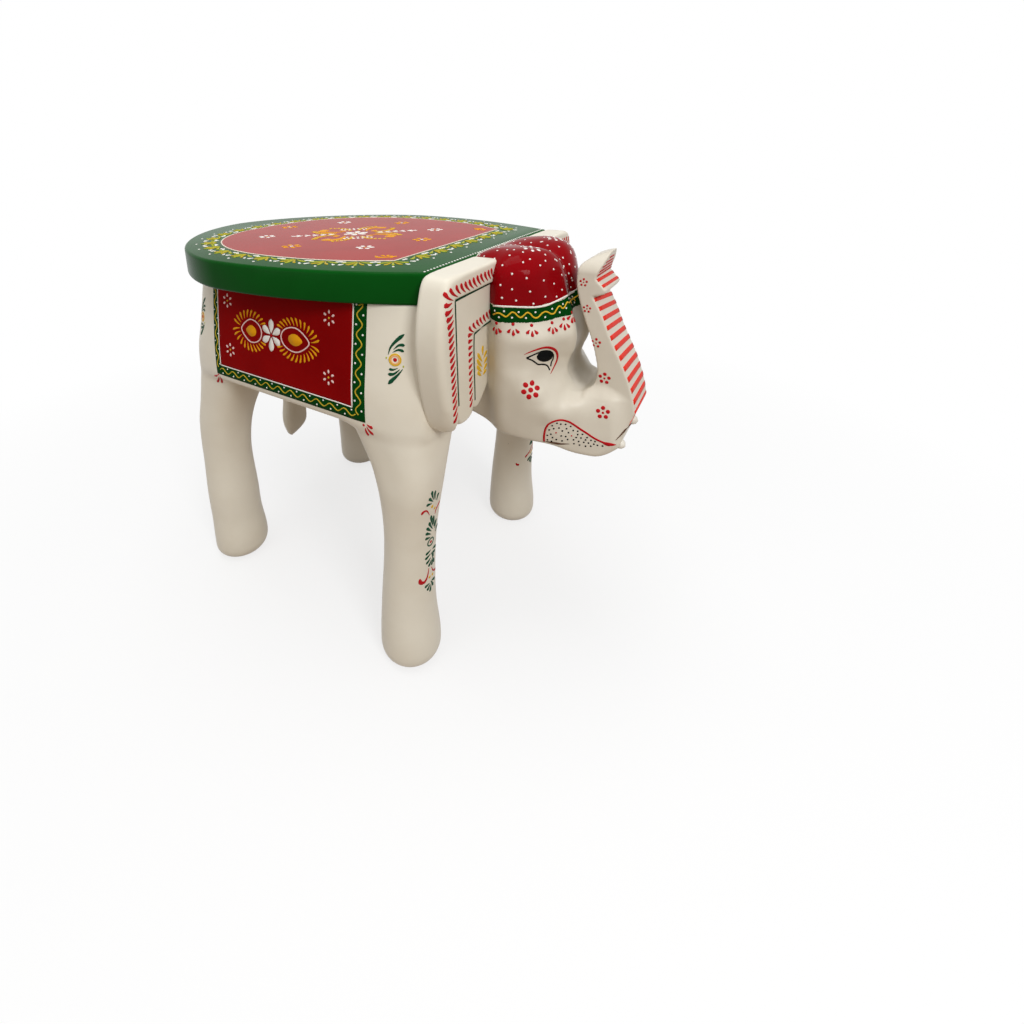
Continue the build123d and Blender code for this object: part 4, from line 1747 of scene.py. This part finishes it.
    def leaf_chain(self, middle: Array, out: Array) -> None:
        """Paints a chain of paired white leaves that points away from the middle.

        Args:
            middle: the rosette's middle.
            out: way it points.
        """
        for step in range(5):
            foot = middle + out * (21 + 7.5 * step)
            for lean in (-1, 1):
                head = foot + out * 5.5 + square_to(out) * lean * 4.5
                self.art.comma(self.sheet, WHITE, head, foot, 1.5, 0.2 * lean)
        self.art.comma(self.sheet, WHITE, middle + out * 62, middle + out * 54, 1.6, 0.0)

    def dot_arcs(self, middle: Array, out: Array) -> None:
        """Paints two arcs of white dots.

        Args:
            middle: the rosette's middle.
            out: way to the middles of the arcs.
        """
        for ring, count in ((24, 5), (31, 7)):
            for step in np.linspace(-0.42, 0.42, count):
                way = swung(out, step)
                angle = math.degrees(math.atan2(way[1], way[0]))
                self.art.brush(WHITE).dot(self.sheet, middle + way * ring, 1.7, 1.5, angle)


@dataclass
class HeadPainting:
    """Red cap with white dots, green band, tassels, eyes, cheek flowers and mouth.

    Names with pixel in them hold columns and rows of the camera's frame, on the right half.
    """

    head: CarvedHead
    tree: BVHTree
    band_low: float = 298.0
    band_high: float = 310.8
    band_top_pixels: Line = (
        (493.5, 305.8), (500, 306.1), (510, 306.6), (520, 307), (530, 307.3), (537, 307),
        (545, 305.7), (550, 303.9), (555, 301.6), (560, 299.2), (565, 296.6), (570, 293.7),
        (574, 291.4),
    )
    wave_pixels: Line = (
        (493.5, 314.5), (497, 313), (500, 313.2), (503, 315.2), (506, 316.6), (509, 314.4),
        (512, 312.1), (515, 313.1), (518, 316.2), (521, 317.4), (524, 315), (527, 312.4),
        (530, 313.6), (533, 316.8), (536, 318), (539, 316.2), (542, 313), (545, 311.6),
        (548, 312.2), (551, 313.9), (554, 313.2), (556, 310), (558, 306.8), (560, 306.2),
        (562, 308.2), (564, 307.6), (565.5, 304.6), (567, 302.2), (569, 302.8), (570.6, 300.4),
        (573, 298.8), (575, 301),
    )
    band_dot_pixels: Line = (
        (495, 310.6), (499, 317.2), (504, 311.2), (512, 317.6), (518.6, 312), (526, 318),
        (535.3, 312.2), (545, 317.2), (552, 308.8), (559.5, 312.4), (562.6, 304), (566, 308.2),
        (568.5, 298.6), (571.6, 304.6), (572, 296.8),
    )
    tassel_pixels: Line = (
        (496.5, 323.2), (513, 324.2), (531.6, 325.3), (552, 322.7), (563.6, 319.0), (571.5, 312.4),
    )
    last_mirrored_pixel: float = 556.0
    cap_dot_pixels: Line = (
        (502.5, 265.5), (512, 274), (500.5, 285), (512, 289.3), (526.5, 278.2), (540, 265.5),
        (514, 250.2), (509.7, 255.7), (543.5, 280.5), (530, 291.5), (502, 297.8), (516, 300.5),
        (533.3, 303.6), (545, 296.7), (556.3, 296.6), (553.7, 283.7), (553.3, 269.3), (561.5, 275),
        (566.3, 281.2), (568.5, 273.5), (572, 280.5), (561.7, 289.8), (570.5, 287.3), (563.5, 266.3),
        (569, 264.3), (556.3, 260.8), (562.7, 257.8), (545, 255), (541, 242.2), (547.5, 245.6),
        (497.5, 251), (523, 262.5), (506, 243.6), (520, 243.5), (523, 252.5),
    )
    lip_pixels: Line = (
        (544, 441.5), (544, 436), (545, 430.5), (546.6, 426.6), (549, 423.9), (553, 421.7),
        (558, 420.3), (562, 420.1), (566, 420.9), (570, 422.4), (574, 424.8), (578, 427.6),
        (582, 430.3), (587, 433.4), (591, 436.2), (596, 439.2), (600, 441.2), (604, 442.8),
    )
    lip_end_pixels: Line = ((602, 442.4), (606, 443.8), (610, 444.5), (616, 444.8))
    black_dot_pixels: Line = (
        (552.2, 425.7), (557, 423.2), (560.8, 424.2), (565.6, 424.4), (570.7, 426.4), (549.2, 429.9),
        (553.7, 428.7), (559, 428), (562.3, 431), (566.5, 428.7), (568.4, 432.7), (573.2, 430.5),
        (577.7, 431.2), (577.7, 434.5), (582.5, 434.3), (547.3, 435.3), (550.8, 434.2), (561.2, 436),
        (565.7, 436.6), (576.2, 437.5), (581, 438), (587, 437.6), (552.5, 437.5), (547.4, 439.8),
        (551.5, 441.2), (556.3, 439.5), (562, 440.8), (567.6, 439.5), (573.5, 439.8), (578.7, 441.4),
        (583.8, 442.3), (585.5, 439.9), (588.5, 443), (591, 440.4), (574, 443.7), (579.5, 445),
        (585.5, 446.2), (590.8, 446.2), (593.8, 444.2), (597.5, 445.3), (602.5, 446), (595, 441.6),
    )
    red_dot_pixels: Line = ((556, 432.8), (571.5, 435.8))
    # Painted shadow in the crease under the lower lip.
    mouth_crease_shadow_pixels: Line = ((545, 441.0), (550.8, 442.3), (556, 443.2), (560, 443.8), (569.5, 443.9))
    # Painted shadow in the crease at the trunk's lower side.
    trunk_crease_shadow_pixels: Line = (
        (643.0, 408.4), (637.6, 415.9), (631.4, 423.4), (626.0, 429.2), (620.8, 434.8), (615.4, 440.4),
    )
    pupil_pixels: Line = (
        (536.3, 356.6), (538, 353.6), (541.5, 351.7), (546, 351.0), (550, 351.8), (552.7, 354.2),
        (552.6, 357.6), (550.4, 359.8), (547.5, 361.4), (543.5, 362.0), (539.5, 361.0), (537, 359.0),
    )
    upper_lid_pixels: Line = (
        (526.6, 358.1), (531, 356), (534, 354.6), (538, 352.9), (542, 351.3), (547, 350.7),
        (551, 351.8), (553.2, 354.8), (552.9, 359.0), (551.4, 362.0), (550.6, 366.2),
    )
    lower_lid_pixels: Line = (
        (526.6, 358.1), (530, 359.4), (533, 360.8), (536, 363), (538.5, 364.4), (542, 364.3),
        (546, 364.9), (548, 366.6), (549.6, 370.0),
    )
    red_lid_pixels: Line = (
        (524.3, 354.7), (529, 352.4), (535, 350.2), (541, 348.3), (547, 347.4), (552, 348.3),
        (555.8, 350.8), (557.4, 355), (556.9, 359.8), (555.1, 364.4), (552.6, 369.6), (550.4, 374.0),
    )
    cheek_pixel: Point = (530.7, 390.0)
    cap_top: float = 400.0
    tassel_strokes: tuple[Line, ...] = (
        ((-3.6, -6.6), (-1.6, -3.4)), ((0.7, -8.6), (0.3, -4.2)), ((4.6, -6.4), (2.0, -3.4)),
    )
    cheek_flower: Blossom = Blossom(VERMILION, 5.3, 2.3, 1.1, turn=76.0, heart=VERMILION, heart_radius=2.3)
    dome_flower: Blossom = Blossom(WHITE, 5.6, 1.5, 1.35, turn=0.0, heart=WHITE, heart_radius=1.3)
    dome_flower_place: Point = (143.0, -25.0)
    dome_dots: Line = (
        (113.0, -9.0), (121.0, -14.0), (129.0, -8.0), (137.0, -12.0), (152.0, -10.0), (128.0, -36.0),
        (117.0, -28.0), (156.0, -30.0), (148.0, -40.0), (134.0, -24.0), (159.0, -18.0), (122.0, -45.0),
    )
    back_row_x: float = 105.6
    sight: Sight = field(init=False)

    def build(self) -> None:
        """Paints the head."""
        self.head.coat(self.band_high, self.cap_top, 0.3).show("cap_red", RED)
        self.head.coat(self.band_low, self.band_high, 0.25).show("headband_green", BAND_GREEN)
        self.sight = Sight.on(self.tree)
        self.band()
        self.cap()
        self.face()
        self.mouth()

    def band(self) -> None:
        """Paints the band's wave, dots, white line and red tassels."""
        art = Painting("headband", mirrored=True, height=0.65)
        near_side = Painting("headband_end", height=0.65)
        art.brush(WHITE).stroke(self.sight, flow(self.band_top_pixels, 4), 0.75)
        art.brush(YELLOW).stroke(self.sight, flow(self.wave_pixels, 4), 0.62)
        for at in self.band_dot_pixels:
            art.brush(WHITE).dot(self.sight, at, 0.95)
        for at in self.tassel_pixels:
            near = self.sight.spot(*at)
            both = art if at[0] < self.last_mirrored_pixel else near_side
            both.brush(VERMILION).dot(near, (0.0, 0.0), 1.45)
            for head, tail in self.tassel_strokes:
                both.comma(near, VERMILION, head, tail, 1.35, 0.1)
        art.show()
        near_side.show()

    def cap(self) -> None:
        """Sets white dots over the cap, and a flower on each dome."""
        art = Painting("cap", mirrored=True, height=0.65)
        for at in self.cap_dot_pixels:
            art.brush(WHITE).dot(self.sight, at, 1.0)
        above = Sheet(self.tree, (0.0, 0.0, 360.0), (1.0, 0.0, 0.0), (0.0, 1.0, 0.0), 20.0)
        art.flower(above, self.dome_flower_place, self.dome_flower)
        for at in self.dome_dots:
            art.brush(WHITE).dot(above, at, 0.95)
        for y in np.arange(-52.0, -1.0, 3.6):
            art.brush(WHITE).dot(above, (self.back_row_x, y), 0.85)
        art.show()

    def face(self) -> None:
        """Paints the eyes and the cheek flowers."""
        art = Painting("face", mirrored=True)
        art.brush(BLACK).fill(self.sight, flow(self.pupil_pixels + self.pupil_pixels[:1], 3)[:-1])
        art.brush(BLACK).stroke(self.sight, flow(self.upper_lid_pixels, 4), 0.68)
        art.brush(BLACK).stroke(self.sight, flow(self.lower_lid_pixels, 4), 0.62)
        art.brush(VERMILION).stroke(self.sight, flow(self.red_lid_pixels, 4), 1.15, Tip.LEAF)
        art.flower(self.sight, self.cheek_pixel, self.cheek_flower)
        art.show()

    def mouth(self) -> None:
        """Paints the red lip line, the dots below it, and painted shadow in the creases under the lip and
        at the trunk.
        """
        art = Painting("mouth", mirrored=True)
        art.brush(VERMILION).stroke(self.sight, flow(self.lip_pixels, 4), 0.85)
        art.brush(VERMILION).stroke(self.sight, flow(self.lip_end_pixels, 5), 1.7, Tip.LEAF)
        for at in self.black_dot_pixels:
            art.brush(BLACK).dot(self.sight, at, 0.85)
        for at in self.red_dot_pixels:
            art.brush(VERMILION).dot(self.sight, at, 0.8)
        # Painted shadow in the crease under the lower lip.
        art.brush(CREASE_SHADOW_UMBER).stroke(self.sight, flow(self.mouth_crease_shadow_pixels, 5), 1.1, Tip.LEAF)
        art.show()
        # Painted shadow in the crease at the trunk's lower side.
        crease_shadow = Painting("trunk_crease_shadow")
        crease_shadow.brush(CREASE_SHADOW_UMBER).stroke(self.sight, flow(self.trunk_crease_shadow_pixels, 5), 0.9, Tip.LEAF)
        crease_shadow.show()


@dataclass
class TrunkPainting:
    """Orange stripes up the front of the trunk and small flowers on its sides."""

    tree: BVHTree
    half_width: float = 19.9
    front: Line = (
        (190.6, 316.4), (194.6, 309.2), (199.2, 300.4), (205.4, 286.2), (213.3, 271), (220.2, 256),
        (225.0, 241.5), (227.2, 231.0), (222.6, 220.0), (215.6, 206.8),
    )
    flap: Line = ((191.4, 330.2), (199.2, 322.2))
    lobe: Line = ((198.4, 349.0), (195.8, 342), (193.3, 336), (191.4, 330.4))
    stripes: int = 13
    first_stripe: float = 2.2
    stripe_pitch: float = 7.45
    flap_stripes: Row = (2.4, 8.0)
    lobe_stripes: Line = ((5.5, 6.0), (9.0, 10.0), (12.3, 14.0), (15.4, 17.5), (18.2, 19.5))
    flower_pixels: Line = (
        (583.6, 282.4), (587.0, 308.8), (596.0, 343.0), (604.4, 378.4), (602.9, 412.8),
    )
    flower_sizes: Line = ((2.4, 1.0), (2.4, 1.0), (2.9, 1.2), (3.4, 1.6), (3.7, 1.85))
    art: Painting = field(init=False)

    def build(self) -> None:
        """Paints stripes and flowers."""
        self.art = Painting("trunk", height=0.35)
        sheet = self.sheet(flow(self.front, 12), 12.0)
        for k in range(self.stripes):
            near = self.first_stripe + self.stripe_pitch * k + 0.075 * k * k
            slant = 2.5 * (1 - k / 10)
            self.stripe(ORANGE, sheet, near + slant, slant, self.half_width, 1.75 + 0.06 * k)
        flap = self.sheet(flow(self.flap, 2), 6.0)
        for middle in self.flap_stripes:
            self.stripe(ORANGE, flap, middle, 0.8, self.half_width, 1.35)
        lobe = self.sheet(flow(self.lobe, 6), 5.0)
        for middle, half in self.lobe_stripes:
            self.stripe(VERMILION, lobe, middle, 0.6, half, 0.8)
        self.art.show()
        flowers = Painting("trunk_side", mirrored=True)
        sight = Sight.on(self.tree)
        for at, (reach, radius) in zip(self.flower_pixels, self.flower_sizes):
            kind = Blossom(VERMILION, reach, radius, petals=5, heart=VERMILION, heart_radius=radius * 0.6)
            flowers.flower(sight, at, kind)
        flowers.show()

    def sheet(self, line: Sequence[Point], reach: float) -> Slope:
        """Sheet along a line of the front, seen from some way before it."""
        return Slope(self.tree, (0.0, 0.0, 0.0), (0.0, 1.0, 0.0), reach=reach, line=np.array(line))

    def stripe(self, finish: Finish, sheet: Slope, middle: float, slant: float,
               half_length: float, half: float) -> None:
        """Paints one stripe across the trunk's front, lower at its left end by the slant."""
        across = np.linspace(-half_length, half_length, 9)
        line = [(y, middle + slant * y / self.half_width) for y in across]
        self.art.brush(finish).stroke(sheet, line, half)


@dataclass
class EarPainting:
    """Rows of red commas, green lines and a yellow frond on each ear.

    Places are pixel columns and rows of the camera's frame. Each comma runs from its head
    over a bend to its tail.
    """

    tree: BVHTree
    outer_line: Line = (
        (493.5, 281.2), (474, 291.2), (455.2, 301.0), (455.6, 315), (456.2, 335), (456.8, 355),
        (457.6, 375), (458.4, 395), (458.9, 406),
    )
    inner_line: Line = (
        (491.3, 320.3), (482, 327.0), (474.2, 334.2), (473.9, 345), (474.1, 365), (474.7, 385),
        (475.0, 400),
    )
    outer_top: tuple[Line, ...] = (
        ((444, 292), (446, 298.6), (453, 300.4)),
        ((450, 288.2), (451.4, 294.6), (457.6, 296.6)),
        ((456, 285), (457, 291), (460.8, 293.8)),
        ((460.8, 283.2), (461.6, 289), (465.6, 292.2)),
        ((464.9, 281.4), (465.6, 287.2), (470, 290.4)),
        ((469, 279.4), (469.8, 285.2), (473.6, 288.2)),
        ((473, 277.4), (473.8, 283.2), (477.4, 286.8)),
        ((476.9, 275.2), (477.8, 280.8), (481, 284.6)),
        ((480.6, 273.4), (481.2, 278.8), (484.4, 282.2)),
        ((484.4, 271.6), (485.2, 276.8), (487.8, 280.6)),
        ((488, 269.8), (488.4, 274.8), (490.9, 279)),
        ((491.2, 268.2), (491.5, 273), (493, 277.4)),
    )
    inner_top: tuple[Line, ...] = (
        ((469, 326.4), (469.8, 330.4), (473.6, 332)),
        ((472.8, 323), (473.5, 326.8), (476.2, 328.8)),
        ((476.4, 319.8), (477.2, 324), (480, 326.2)),
        ((479.7, 317.2), (480.3, 321.4), (483, 324)),
        ((483, 314.6), (483.8, 318.8), (486, 321.6)),
        ((486.2, 311.8), (486.8, 316), (488.8, 319)),
        ((489.2, 309.4), (489.6, 313.2), (491.2, 316.4)),
    )
    outer_side: tuple[Line, ...] = (
        ((444.2, 304.6), (447.4, 307.8), (451.8, 303)),
        ((444.8, 314), (448.6, 315), (452.4, 308.4)),
        ((446.2, 320.8), (449.8, 321.2), (453, 314.6)),
        ((447.2, 328.8), (450.8, 326.6), (453.4, 320.4)),
    )
    side_ends: tuple[Line, ...] = (((448.0, 336.0), (453.6, 327.6)), ((453.8, 423.6), (457.4, 412.6)))
    inner_side_ends: tuple[Line, ...] = (
        ((467.8, 335.8), (472.4, 333.6)), ((469.6, 407.4), (472.4, 398.6)),
    )
    leaves: tuple[Line, ...] = (
        ((477.4, 353.2), (482.2, 361.4)), ((476.7, 359.4), (482.1, 366.8)),
        ((476.7, 365.6), (481.8, 371.6)), ((477.4, 371.8), (481.2, 375.6)),
        ((486.9, 350.4), (483.5, 358.4)), ((487.2, 356.8), (483.7, 364.4)),
        ((487, 363.2), (483.4, 370.2)), ((486.2, 369.4), (482.8, 374.8)),
        ((482.8, 345.2), (482.9, 354.8)),
    )
    art: Painting = field(init=False)
    sight: Sight = field(init=False)

    def build(self) -> None:
        """Paints the right ear and mirrors it."""
        self.sight = Sight.on(self.tree)
        self.art = Painting("ear", mirrored=True)
        for line in (self.outer_line, self.inner_line):
            edges = [np.linspace(line[0], line[1], 6), np.linspace(line[1], line[2], 6)[1:]]
            self.art.brush(LINE_GREEN).stroke(self.sight, np.vstack(edges), 0.85)
            self.art.brush(LINE_GREEN).stroke(self.sight, flow(line[2:], 4), 0.75)
        for row, half in ((self.outer_top, 1.75), (self.inner_top, 1.6), (self.outer_side, 2.2)):
            for head, middle, tail in row:
                self.art.brush(VERMILION).stroke(self.sight, bend(head, middle, tail), half, Tip.COMMA)
        self.ladder(self.side_ends, 14, 2.0)
        self.ladder(self.inner_side_ends, 12, 1.9)
        for head, tail in self.leaves:
            self.art.comma(self.sight, YELLOW, head, tail, 1.75, 0.06, Tip.PETAL)
        self.art.show()

    def ladder(self, ends: tuple, count: int, half_width: float) -> None:
        """Paints a row of slanting commas between a first and a last one.

        Args:
            ends: head and tail of the first and of the last comma.
            count: number of commas.
            half_width: half width of their heads.
        """
        first, last = (np.array(end, float) for end in ends)
        for share in np.linspace(0, 1, count):
            head, tail = first + (last - first) * share
            self.art.comma(self.sight, VERMILION, head, tail, half_width * (1 - 0.2 * share), 0.1)


@dataclass
class BodySprigs:
    """Ringed eyes with leaf sprays behind each shoulder and hip, and vines down the front legs.

    Names with pixel in them hold columns and rows of the camera's frame.
    """

    tree: BVHTree
    leaf_pixels: tuple[Line, ...] = (
        ((432, 491), (433.6, 499.6)), ((435.4, 490.4), (435, 499.6)),
        ((438.8, 492.4), (436.6, 500)), ((429, 498.6), (433, 501.4)),
        ((426.4, 505.6), (431.6, 503.4)), ((430.9, 515.4), (433.2, 526)),
        ((433.6, 515.4), (434.4, 526)), ((436.2, 518.4), (434.8, 528)),
        ((437.6, 523.4), (435.2, 531)), ((429, 522.4), (432.4, 528.6)),
        ((426.6, 528.2), (431.4, 531)), ((425.6, 533.8), (430.8, 534)),
        ((425.2, 539.2), (430.2, 537.4)), ((435.6, 545.2), (432.4, 548.6)),
        ((434.8, 550.2), (431.6, 553)), ((433.4, 555.6), (431.2, 552.6)),
        ((425.6, 555.2), (430.6, 549.6)), ((424.9, 560), (430.4, 553.6)),
        ((426, 564.4), (430.6, 557.4)), ((428.4, 566.8), (431, 560)),
        ((431.6, 565), (431.8, 558.6)), ((433.8, 561.4), (432.2, 556.4)),
        ((434.6, 577.6), (431.4, 580.4)), ((433, 584.6), (430.8, 581)),
        ((424.6, 587.8), (429.4, 583)), ((427, 590.8), (430, 583.6)),
        ((429.8, 591.6), (430.8, 584.4)),
    )
    curl_pixels: tuple[tuple[Line, float], ...] = (
        (((421.4, 515.2), (423.4, 512.2), (427, 511.2), (429.4, 515)), 1.3),
        (((439.8, 500.6), (438, 504.6), (436, 509), (434.8, 513.6)), 1.2),
        (((419.6, 579), (420.8, 583), (424.6, 582), (427.4, 576.4), (428.8, 568)), 1.9),
        (((435.8, 562.6), (435.4, 568), (433, 570), (431.4, 566.8)), 1.3),
    )
    bud_pixels: tuple[tuple[Point, float], ...] = (
        ((432.2, 506.4), 1.7), ((434.6, 508.0), 1.5), ((429.6, 577.0), 1.6), ((432.4, 574.0), 1.4),
    )
    ring_pixel: Point = (430.8, 541.6)
    spray_leaves: tuple[tuple[Line, float], ...] = (
        (((5.8, 18.9), (0.6, 14), (-3.5, 8.8), (-5.1, 3.4)), 1.45),
        (((6.4, 10.9), (2.3, 10.6), (-1.4, 7.4)), 1.3), (((6, 6.4), (2.1, 7.3), (-2, 5.2)), 1.2),
        (((-4.1, -7), (-1.2, -7.3), (2.2, -5.8)), 1.1),
        (((-4.7, -10.9), (-0.4, -10.2), (3.6, -6.6)), 1.35),
        (((-4.1, -17.9), (-0.8, -14.2), (2.5, -10.6), (5.6, -6.3)), 1.6),
    )
    spray_dots: Line = ((-6.3, 0.9), (6.0, -4.4))
    spray_rings: tuple[tuple[Finish, float, float], ...] = ((YELLOW, 4.1, 0.6), (PEACH, 3.0, 0.65))
    shoulder: Point = (83.2, 281.0)
    hip_pixel: Point = (203.0, 316.6)

    def build(self) -> None:
        """Paints the right side and mirrors it."""
        art = Painting("sprig", mirrored=True)
        flank = Sheet(self.tree, (0.0, -170.0, 0.0), (1.0, 0.0, 0.0))
        self.spray(art, flank, self.shoulder)
        place, normal = Sight.on(self.tree).find(*self.hip_pixel)
        out = Vector((normal.x, normal.y, 0.0)).normalized()
        hip = Sheet(self.tree, tuple(place), (-out.y, out.x, 0.0), reach=8.0)
        self.spray(art, hip, (0.0, 0.0))
        self.vine(art, Sight.on(self.tree))
        art.show()

    def spray(self, art: Painting, sheet: Sheet, at: Point) -> None:
        """Paints a ringed dot with leaves above and below.

        Args:
            art: the painting.
            sheet: where it is drawn.
            at: its middle.
        """
        middle = np.array(at)
        for finish, radius, half in self.spray_rings:
            art.brush(finish).stroke(sheet, oval(at, radius, radius, 20), half, closed=True)
        art.brush(VERMILION).dot(sheet, at, 1.75)
        for line, half in self.spray_leaves:
            art.brush(LEAF_GREEN).stroke(sheet, flow(middle + np.array(line), 6), half, Tip.COMMA)
        for x, z in self.spray_dots:
            art.brush(OLIVE).dot(sheet, middle + (x, z), 0.7, 1.4, 90.0)

    def vine(self, art: Painting, sight: Sight) -> None:
        """Paints the hanging vine: leaf fans, red curls, yellow buds and a ringed dot.

        Args:
            art: the painting.
            sight: the camera's sheet.
        """
        for head, tail in self.leaf_pixels:
            art.comma(sight, LEAF_GREEN, head, tail, 1.5, 0.06)
        for line, half in self.curl_pixels:
            art.brush(VERMILION).stroke(sight, flow(line, 6), half, Tip.COMMA)
        for at, radius in self.bud_pixels:
            art.brush(YELLOW).dot(sight, at, radius)
        near = sight.spot(*self.ring_pixel)
        art.brush(LEAF_GREEN).stroke(near, oval((0.0, 0.0), 3.6, 3.4, 18), 0.6, closed=True)
        art.brush(VERMILION).dot(near, (0.0, 0.0), 1.5)


# ---- Studio ----


@dataclass
class Studio:
    """Pale floor, soft lights and the camera."""

    lens: Lens = field(default_factory=Lens)
    sensor: float = 36.0
    white: Row = (1.0, 1.0, 1.0, 1.0)
    floor_white: Row = (0.93, 0.93, 0.93, 1.0)
    floor_bounce: Row = (0.31, 0.225, 0.15, 1.0)
    floor_calm: float = 0.72
    floor_half: float = 6.0
    fade_start: float = 0.25
    fade_end: float = 0.8
    air_strength: float = 0.40
    aim: Point = (0.0, 0.0, 0.18)
    lamps: tuple[tuple[str, Point, float, float], ...] = (
        ("key_light", (1.3, -0.85, 1.35), 0.6, 17.5), ("side_light", (-0.6, -1.7, 0.6), 1.0, 3.5),
        ("top_light", (-0.1, -0.1, 1.9), 1.0, 11.5),
    )

    def camera(self) -> None:
        """Places the camera."""
        lens = self.lens
        data = bpy.data.cameras.new("camera")
        data.sensor_width = self.sensor
        data.lens = lens.focal_pixels / lens.frame_pixels * self.sensor
        data.shift_x = (lens.frame_pixels / 2 - lens.centre_pixels[0]) / lens.frame_pixels
        data.shift_y = (lens.centre_pixels[1] - lens.frame_pixels / 2) / lens.frame_pixels
        data.clip_start = 0.01
        right, up, forward = lens.axes()
        camera = bpy.data.objects.new("camera", data)
        turned = Matrix((right, up, -forward)).transposed().to_4x4()
        camera.matrix_world = Matrix.Translation(Vector(lens.eye) * MM) @ turned
        bpy.context.scene.collection.objects.link(camera)
        bpy.context.scene.camera = camera

    def light(self, name: str, place: Point, size: float, power: float) -> None:
        """Adds one soft square lamp.

        Args:
            name: its name.
            place: where it hangs, in metres.
            size: its side, in metres.
            power: its power, in watts.
        """
        data = bpy.data.lights.new(name, "AREA")
        data.shape = "SQUARE"
        data.size = size
        data.energy = power
        lamp = bpy.data.objects.new(name, data)
        lamp.location = place
        lamp.rotation_euler = (Vector(self.aim) - Vector(place)).to_track_quat("-Z", "Y").to_euler()
        bpy.context.scene.collection.objects.link(lamp)

    def seen(self, nodes: bpy.types.Nodes, links: bpy.types.NodeLinks) -> bpy.types.NodeSocket:
        """Adds nodes that give 1 for rays from the camera, off a gloss or through glass, else 0.

        Args:
            nodes: nodes of a material or world.
            links: its links.

        Returns:
            The output that carries the value.
        """
        path = add_node(nodes, "ShaderNodeLightPath")
        either = add_node(nodes, "ShaderNodeMath", operation="MAXIMUM")
        links.new(path.outputs["Is Camera Ray"], either.inputs[0])
        links.new(path.outputs["Is Glossy Ray"], either.inputs[1])
        most = add_node(nodes, "ShaderNodeMath", operation="MAXIMUM")
        links.new(either.outputs[0], most.inputs[0])
        links.new(path.outputs["Is Transmission Ray"], most.inputs[1])
        return most.outputs[0]

    def floor_paint(self) -> bpy.types.Material:
        """Mixes the floor's paint, which looks white but throws little light back up.

        Returns:
            The material.
        """
        made = bpy.data.materials.new("studio_white")
        made.use_nodes = True
        nodes, links = made.node_tree.nodes, made.node_tree.links
        shader = nodes["Principled BSDF"]
        shader.inputs["Roughness"].default_value = 0.9
        shader.inputs["Specular IOR Level"].default_value = 0.0
        seen = self.seen(nodes, links)
        mix = add_node(nodes, "ShaderNodeMixRGB", {"Color1": self.floor_bounce, "Color2": self.floor_white})
        links.new(seen, mix.inputs["Fac"])
        links.new(mix.outputs["Color"], shader.inputs["Base Color"])
        place = add_node(nodes, "ShaderNodeTexCoord")
        away = add_node(nodes, "ShaderNodeVectorMath", operation="LENGTH")
        links.new(place.outputs["Object"], away.inputs[0])
        spread = {"From Min": self.fade_start, "From Max": self.fade_end, "To Min": self.floor_calm}
        fade = add_node(nodes, "ShaderNodeMapRange", spread | {"To Max": 1.0})
        links.new(away.outputs["Value"], fade.inputs["Value"])
        share = add_node(nodes, "ShaderNodeMath", operation="MULTIPLY")
        links.new(fade.outputs["Result"], share.inputs[0])
        links.new(seen, share.inputs[1])
        glow = add_node(nodes, "ShaderNodeEmission", {"Color": self.white, "Strength": 1.0})
        blend = add_node(nodes, "ShaderNodeMixShader")
        links.new(share.outputs[0], blend.inputs["Fac"])
        links.new(shader.outputs["BSDF"], blend.inputs[1])
        links.new(glow.outputs["Emission"], blend.inputs[2])
        links.new(blend.outputs["Shader"], nodes["Material Output"].inputs["Surface"])
        return made

    def floor(self) -> None:
        """Lays the pale floor."""
        mesh = bpy.data.meshes.new("studio_floor")
        half = self.floor_half
        corners = [(-half, -half, 0), (half, -half, 0), (half, half, 0), (-half, half, 0)]
        mesh.from_pydata(corners, [], [(0, 1, 2, 3)])
        mesh.materials.append(self.floor_paint())
        floor = bpy.data.objects.new("studio_floor", mesh)
        bpy.context.scene.collection.objects.link(floor)

    def air(self) -> None:
        """Sets the even light of the room, with a white background."""
        world = bpy.data.worlds.new("studio_air")
        world.use_nodes = True
        nodes, links = world.node_tree.nodes, world.node_tree.links
        back = nodes["Background"]
        back.inputs["Color"].default_value = self.white
        spread = add_node(nodes, "ShaderNodeMapRange", {"To Min": self.air_strength, "To Max": 1.0})
        links.new(self.seen(nodes, links), spread.inputs["Value"])
        links.new(spread.outputs["Result"], back.inputs["Strength"])
        bpy.context.scene.world = world

    def build(self) -> None:
        """Sets up floor, air, lights and camera."""
        bpy.context.scene.view_settings.view_transform = "Standard"
        self.air()
        self.floor()
        for name, place, size, power in self.lamps:
            self.light(name, place, size, power)
        self.camera()


def main() -> None:
    """Builds the stool piece by piece, then the studio."""
    logging.basicConfig(level=logging.INFO, format="%(message)s")
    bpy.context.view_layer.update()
    body = CarvedBody().build().tree()
    head = CarvedHead()
    head_tree = head.build().tree()
    ears = CarvedEars().build().tree()
    Tail().build()
    Tusks().build()
    seat = Seat().build().tree()
    SaddlePanels(body).build()
    BodySprigs(body).build()
    SeatPainting(seat).build()
    HeadPainting(head, head_tree).build()
    TrunkPainting(head_tree).build()
    EarPainting(ears).build()
    Studio().build()


if __name__ == "__main__":
    main()
